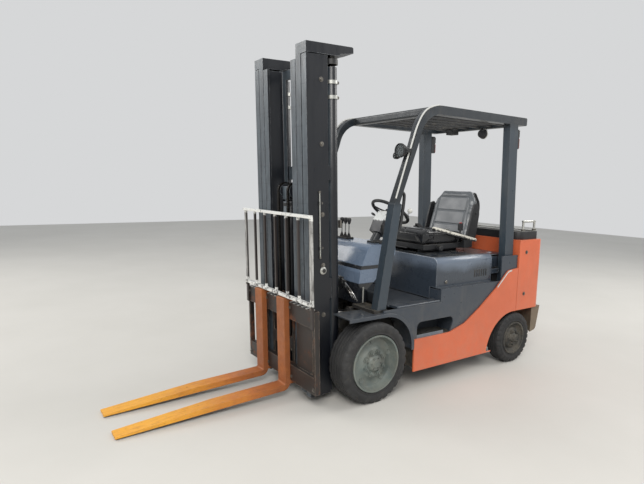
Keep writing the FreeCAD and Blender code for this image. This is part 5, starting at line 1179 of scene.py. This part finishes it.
def mast_fittings():
    """Bolted clamps and ports on the lift cylinders, roller bolts, a feed pipe and a hose along the rails."""
    pale, dark, steel_parts = bmesh.new(), bmesh.new(), bmesh.new()
    for side in (-1, 1):
        x = side * 0.285
        for z in (1.675, 1.765):
            lathe(pale, [(0, 0.0362), (0, 0.0405), (0.022, 0.0405), (0.022, 0.0362)], 32,
                  turned_to((0, 0, 1), (x, -0.170, z)))
            block(pale, (x - 0.014, -0.136, z + 0.002), (x + 0.014, -0.122, z + 0.020))
            bolt(steel_parts, (x + 0.014 * side, -0.129, z + 0.011), (side, 0, 0), 0.006, 0.005)
        lathe(dark, [(0, 0.0362), (0, 0.0425), (0.030, 0.0425), (0.034, 0.039), (0.034, 0.0362)], 32,
              turned_to((0, 0, 1), (x, -0.170, 1.880)))
        lathe(steel_parts, [(0, 0.012), (0.012, 0.014), (0.018, 0.014), (0.022, 0.009), (0.030, 0.009), (0.030, 0)], 6,
              turned_to((side * 0.2, 1, 0), (x, -0.145, 0.020)), closed=False)
        for z in (0.330, 0.650, 0.970, 1.400, 1.780):
            bolt(steel_parts, (side * 0.330, -0.275, z), (side, 0, 0), 0.010, 0.007)
        lathe(pale, [(0, 0), (0, 0.024), (0.004, 0.024), (0.006, 0.020), (0.009, 0.020), (0.011, 0.014), (0.011, 0)], 28,
              turned_to((side, 0, 0), (side * 0.330, -0.275, 0.615)), closed=False)
        bolt(dark, (side * 0.3405, -0.275, 0.615), (side, 0, 0), 0.009, 0.006)
        for z in (0.760, 1.040):
            block(dark, (side * 0.330, -0.306, z - 0.012), (side * 0.339, -0.284, z + 0.012))
            bolt(steel_parts, (side * 0.330, -0.279, z), (side, 0, 0), 0.005, 0.004)
        bar(pale, (side * 0.3355, -0.298, 0.700), (side * 0.3355, -0.298, 1.110), 0.0045, 12)
        for z in (0.696, 1.104):
            lathe(steel_parts, [(0, 0), (0, 0.0085), (0.012, 0.0085), (0.012, 0)], 6,
                  turned_to((0, 0, 1), (side * 0.3355, -0.298, z)), closed=False)
        block(steel_parts, (side * 0.300, -0.135, 0.875), (side * 0.322, -0.122, 0.925))
        bolt(steel_parts, (side * 0.311, -0.122, 0.900), (0, 1, 0), 0.007, 0.005)
    made("cylinder_clamps", pale, "zinc", "mast_outer", MAST, 0.0008)
    made("cylinder_glands", dark, "black", "mast_outer", MAST, 0.0008)
    made("mast_bolts", steel_parts, "steel", "mast_outer", MAST)
    for side in (-1, 1):
        x = side * 0.241
        hose("cylinder_feed_%s" % ("right" if side < 0 else "left"),
             [(side * 0.285, -0.116, 0.020), (side * 0.280, -0.112, 0.045), (side * 0.256, -0.124, 0.100),
              (x, -0.145, 0.180), (x, -0.160, 0.280), (x, -0.160, 0.420), (x, -0.160, 0.600), (x, -0.160, 1.100)],
             0.0085, "hose", "mast_outer", MAST)
    gland = bmesh.new()
    lathe(gland, [(-0.002, 0.036), (-0.002, 0.047), (0.020, 0.047), (0.024, 0.043), (0.024, 0.036)], 40,
          turned_to((0, 0, 1), (0, -0.312, 1.012)))
    made("middle_cylinder_gland", gland, "black", "mast_inner", MAST, 0.001)


def carriage_fittings():
    """Fork latch pins, stop bolts, notches along the upper bar and chain anchor nuts."""
    low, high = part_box("carriage")
    half, front, top, bottom = 0.450, -0.423, 0.395, -0.135
    teeth, bolts, pale = bmesh.new(), bmesh.new(), bmesh.new()
    for i in range(17):
        x = -0.400 + 0.050 * i
        block(teeth, (x - 0.010, front + 0.004, top - 0.001), (x + 0.010, -0.392, top + 0.005))
    for side in (-1, 1):
        for z in (top - 0.030, bottom + 0.030):
            bolt(bolts, (side * (half - 0.020), front, z), (0, -1, 0), 0.009, 0.007)
            bolt(bolts, (side * 0.160, front, z), (0, -1, 0), 0.008, 0.006)
        for dx in (-0.0215, 0.0215):
            lathe(bolts, [(0, 0), (0, 0.007), (0.010, 0.007), (0.010, 0.005), (0.020, 0.005), (0.020, 0)], 6,
                  turned_to((0, 0, -1), (side * 0.061 + dx, -0.372, 0.060)), closed=False)
        for z in (0.440, 0.460):
            bolt(bolts, (side * (half - 0.013), -0.440, z - 0.02), (0, -1, 0), 0.007, 0.005)
    made("carriage_teeth", teeth, "edge", "carriage", MAST, 0.0015)
    made("carriage_bolts", bolts, "steel", "carriage", MAST)
    for side, fork in ((1, "left"), (-1, "right")):
        lo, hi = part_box("fork_" + fork)
        x = (lo.x + hi.x) / 2
        pin = bmesh.new()
        bar(pin, (x, -0.405, 0.402), (x, -0.405, 0.428), 0.008)
        bar(pin, (x - 0.024, -0.405, 0.424), (x + 0.024, -0.405, 0.424), 0.005)
        made("fork_latch_" + fork, pin, "zinc", "fork_" + fork, MAST, 0.0)


leaf_chains()
mast_fittings()
carriage_fittings()


# Body trims.

def along_line(bm, spots, wide, thick, x, out):
    """A flat strip on a side face along a line of (y, z) corners."""
    for (y0, z0), (y1, z1) in zip(spots, spots[1:]):
        run = Vector((y1 - y0, z1 - z0)).normalized()
        ny, nz = -run.y * wide / 2, run.x * wide / 2
        prism(bm, [(y0 + ny, z0 + nz), (y1 + ny, z1 + nz), (y1 - ny, z1 - nz), (y0 - ny, z0 - nz)], x, x + out * thick)


SKIRT_END = 1.176


def side_trims():
    """The pale strip down the swoop, the bright lower lip, corner fillers below the hood, step bars, a grip, and a pale
    tube along each front pillar's bend that is a painted highlight.
    """
    edge, lip, filler, bars, nosing = (bmesh.new() for _ in range(5))
    swoop = [(1.385, 0.765), (1.352, 0.761), (1.330, 0.749), (1.300, 0.723), (1.250, 0.678), (1.215, 0.646)]
    for side in (-1, 1):
        x = side * 0.5150
        along_line(edge, swoop, 0.011, 0.0012, x, side)
        bar(lip, (x - side * 0.004, 0.352, 0.144), (x - side * 0.004, SKIRT_END, 0.144), 0.0045, 12)
        block(filler, (side * 0.393, 0.6005, 0.601), (side * 0.494, 0.6045, 0.6815))
        prism(filler, rounded(sorted((side * 0.4175, side * 0.500)), (0.5965, 0.614), 0.007), 0.190, 0.598, "XZ")
        for i in range(9):
            y = 0.400 + 0.030 * i
            if y < 0.625:
                block(bars, (side * 0.405, y, 0.368), (side * 0.496, y + 0.010, 0.3715))
        block(nosing, (side * 0.4975, 0.378, 0.366), (side * 0.5020, 0.640, 0.391))
        hose("pillar_grip_%s" % ("left" if side > 0 else "right"),
             [(side * 0.450, 0.168, 1.100), (side * 0.450, 0.215, 1.105), (side * 0.450, 0.232, 1.150),
              (side * 0.450, 0.258, 1.330), (side * 0.450, 0.250, 1.372), (side * 0.450, 0.205, 1.375)],
             0.011, "plastic", "chassis")
        # A pale tube along each front pillar's bend: a painted highlight for the light on the pillar's front edge.
        hose("pillar_highlight_tube_%s" % ("left" if side > 0 else "right"),
             [(side * 0.474, 0.160, 1.33), (side * 0.474, 0.222, 1.52), (side * 0.474, 0.285, 1.70),
              (side * 0.474, 0.315, 1.790), (side * 0.474, 0.362, 1.880), (side * 0.474, 0.430, 1.940),
              (side * 0.474, 0.520, 1.956)], 0.006, "edge", "chassis")
    made("swoop_edge", edge, "edge", "chassis")
    made("skirt_lip", lip, "orange", "chassis")
    made("hood_corner_fillers", filler, "slate", "chassis", round_off=0.001)
    made("step_bars", bars, "tread", "chassis", round_off=0.0008)
    made("step_nosings", nosing, "step", "chassis", round_off=0.001)


def cowl_pipes():
    """Brake and tilt pipes that run down from under the cowl to the axle and the tilt valves."""
    for i, x in enumerate((0.255, 0.235, 0.215)):
        hose("cowl_pipe_%d" % i, [(x - 0.155, 0.006, 0.770), (x - 0.110, 0.004, 0.745), (x - 0.030, 0.010, 0.690),
                                  (x, 0.020, 0.655), (x + 0.002, 0.040, 0.620)], 0.0058, "chrome", "chassis")
    hose("cowl_stub_pipe", [(0.286, 0.066, 0.720), (0.286, 0.066, 0.680), (0.286, 0.066, 0.640), (0.286, 0.066, 0.612)],
         0.0062, "zinc", "chassis")
    ties = bmesh.new()
    for x in (0.115, 0.150):
        block(ties, (x - 0.012, 0.000, 0.730 - (x - 0.115) * 0.55), (x + 0.012, 0.016, 0.770 - (x - 0.115) * 0.55))
    made("cowl_pipe_clips", ties, "black", "chassis", round_off=0.001)


def seat_wings():
    """Moulded side wings behind the hips, bolted to the seat's shell."""
    for side in (-1, 1):
        bm = bmesh.new()
        outline = [(1.160, 0.985), (1.240, 0.975), (1.262, 1.010), (1.292, 1.190), (1.286, 1.255), (1.262, 1.282),
                   (1.225, 1.270), (1.195, 1.170), (1.168, 1.060)]
        prism(bm, outline, side * 0.226, side * 0.242)
        for y, z in ((1.225, 1.010), (1.250, 1.200)):
            bar(bm, (side * 0.180, y, z), (side * 0.228, y, z), 0.010)
            bolt(bm, (side * 0.242, y, z), (side, 0, 0), 0.007, 0.005)
        made("seat_wing_%s" % ("left" if side > 0 else "right"), bm, "plastic", "hood", round_off=0.008)


def hood_trims():
    """A latch and a row of louvres on each side."""
    slots, latch, seal = bmesh.new(), bmesh.new(), bmesh.new()
    for side in (-1, 1):
        x = side * 0.450
        for i in range(6):
            y = 1.010 + 0.026 * i
            prism(slots, [(y, 0.735), (y + 0.013, 0.735), (y + 0.013, 0.790), (y, 0.790)], x, x + side * 0.0016)
        bar(latch, (x, 0.700, 0.725), (x + side * 0.006, 0.700, 0.725), 0.013)
        bar(latch, (x + side * 0.005, 0.700, 0.725), (x + side * 0.009, 0.700, 0.725), 0.007)
    made("hood_louvres", slots, "black", "hood", round_off=0.0005)
    made("hood_latches", latch, "steel", "hood")


def weight_trims():
    """Rear grille, bolts, cover lids, hoop clamps and reflectors on the counterweight."""
    grille, bolts, red, lids = (bmesh.new() for _ in range(4))
    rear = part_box("counterweight")[1].y - AXLE.y
    for i in range(15):
        x = -0.196 + 0.028 * i
        bar(grille, (x, rear - 0.034, 0.641), (x, rear - 0.034, 0.879), 0.0035, 10)
    for z in (0.700, 0.760, 0.820):
        bar(grille, (-0.214, rear - 0.030, z), (0.214, rear - 0.030, z), 0.0030, 10)
    for side in (-1, 1):
        block(red, (side * 0.380 - 0.035, 1.764, 1.020), (side * 0.380 + 0.035, 1.769, 1.046))
        for z in (0.900, 0.560):
            bolt(bolts, (side * 0.515, 1.560, z), (side, 0, 0), 0.010, 0.006)
        for y in (1.580, 1.730):
            lathe(bolts, [(0, 0.0092), (0, 0.016), (0.012, 0.016), (0.012, 0.0092)], 24,
                  turned_to((0, 0, 1), (side * 0.455, y, 1.069)))
        prism(lids, rounded((side * 0.250 - 0.110, side * 0.250 + 0.110), (1.612, 1.698), 0.012), 1.0615, 1.0655, "XY")
    made("counterweight_grille", grille, "black", "chassis")
    made("counterweight_bolts", bolts, "steel", "chassis")
    made("rear_reflectors", red, "red_lens", "chassis", round_off=0.001)
    made("cover_lids", lids, "plastic", "chassis", round_off=0.0015)


side_trims()
cowl_pipes()
seat_wings()
hood_trims()
weight_trims()


# Stage, light and camera. The camera stands where the photograph's stood: found from the wheels, forks and mast.

CAMERA_PLACE = Vector((2.893, -2.058, 1.4206))
CAMERA_YAW, CAMERA_DOWN, CAMERA_ROLL = (math.radians(a) for a in (55.75, 6.76, 1.28))
FOCAL_PIXELS, IMAGE_WIDTH, SENSOR = 500.0, 644.0, 36.0


def stage():
    bm = bmesh.new()
    reach = 14.0
    spots = [bm.verts.new((x, y, 0)) for x, y in ((-reach, -reach), (reach, -reach), (reach, reach), (-reach, reach))]
    bm.faces.new(spots)
    mesh = bpy.data.meshes.new("floor")
    bm.to_mesh(mesh)
    bm.free()
    ground = bpy.data.objects.new("floor", mesh)
    bpy.context.scene.collection.objects.link(ground)
    s = Surface("floor_concrete")
    tone = s.mix(s.noise(0.7, 6, 0.6), srgb(196, 193, 186), srgb(214, 211, 205))
    mesh.materials.append(s.done(tone, 0.6, s.noise(30, 6), 0.05, 0.002))


def world():
    scene = bpy.context.scene
    scene.world = bpy.data.worlds.new("studio")
    scene.world.use_nodes = True
    tree = scene.world.node_tree
    seen, lit = tree.nodes["Background"], tree.nodes.new("ShaderNodeBackground")
    seen.inputs["Color"].default_value = srgb(214, 215, 216)
    lit.inputs["Color"].default_value = (0.92, 0.96, 1.0, 1.0)
    lit.inputs["Strength"].default_value = 0.55
    path = tree.nodes.new("ShaderNodeLightPath")
    both = tree.nodes.new("ShaderNodeMath")
    both.operation = "MAXIMUM"
    tree.links.new(path.outputs["Is Camera Ray"], both.inputs[0])
    tree.links.new(path.outputs["Is Glossy Ray"], both.inputs[1])
    mix = tree.nodes.new("ShaderNodeMixShader")
    tree.links.new(both.outputs[0], mix.inputs[0])
    tree.links.new(lit.outputs[0], mix.inputs[1])
    tree.links.new(seen.outputs[0], mix.inputs[2])
    tree.links.new(mix.outputs[0], tree.nodes["World Output"].inputs["Surface"])
    scene.view_settings.view_transform = "Standard"


def lamp(name, place, aim, size, power, colour=(1.0, 0.98, 0.95)):
    data = bpy.data.lights.new(name, "AREA")
    data.shape = "RECTANGLE"
    data.size, data.size_y = size
    data.energy = power
    data.color = colour
    obj = bpy.data.objects.new(name, data)
    bpy.context.scene.collection.objects.link(obj)
    obj.location = place
    obj.rotation_mode = "QUATERNION"
    obj.rotation_quaternion = (Vector(aim) - Vector(place)).to_track_quat("-Z", "Y")


def camera():
    data = bpy.data.cameras.new("camera")
    data.sensor_width = SENSOR
    data.lens = FOCAL_PIXELS / IMAGE_WIDTH * SENSOR
    data.clip_start, data.clip_end = 0.05, 60
    obj = bpy.data.objects.new("camera", data)
    bpy.context.scene.collection.objects.link(obj)
    ahead = Vector((-math.sin(CAMERA_YAW) * math.cos(CAMERA_DOWN), math.cos(CAMERA_YAW) * math.cos(CAMERA_DOWN),
                    -math.sin(CAMERA_DOWN)))
    right = Vector((math.cos(CAMERA_YAW), math.sin(CAMERA_YAW), 0))
    up = right.cross(ahead)
    turn = Matrix.Rotation(-CAMERA_ROLL, 3, ahead)
    right, up = turn @ right, turn @ up
    axes = Matrix((right, up, -ahead)).transposed().to_4x4()
    obj.matrix_world = Matrix.Translation(TRUCK @ CAMERA_PLACE) @ axes
    bpy.context.scene.camera = obj


stage()
world()
lamp("key", (5.5, -4.5, 6.0), (0, 0, 0.9), (4.0, 4.0), 520)
lamp("fill", (-5.0, -5.0, 4.5), (0, 0, 1.0), (4.0, 3.0), 190)
lamp("back", (2.0, 6.0, 5.0), (0, 0.5, 1.0), (5.0, 3.0), 230)
camera()
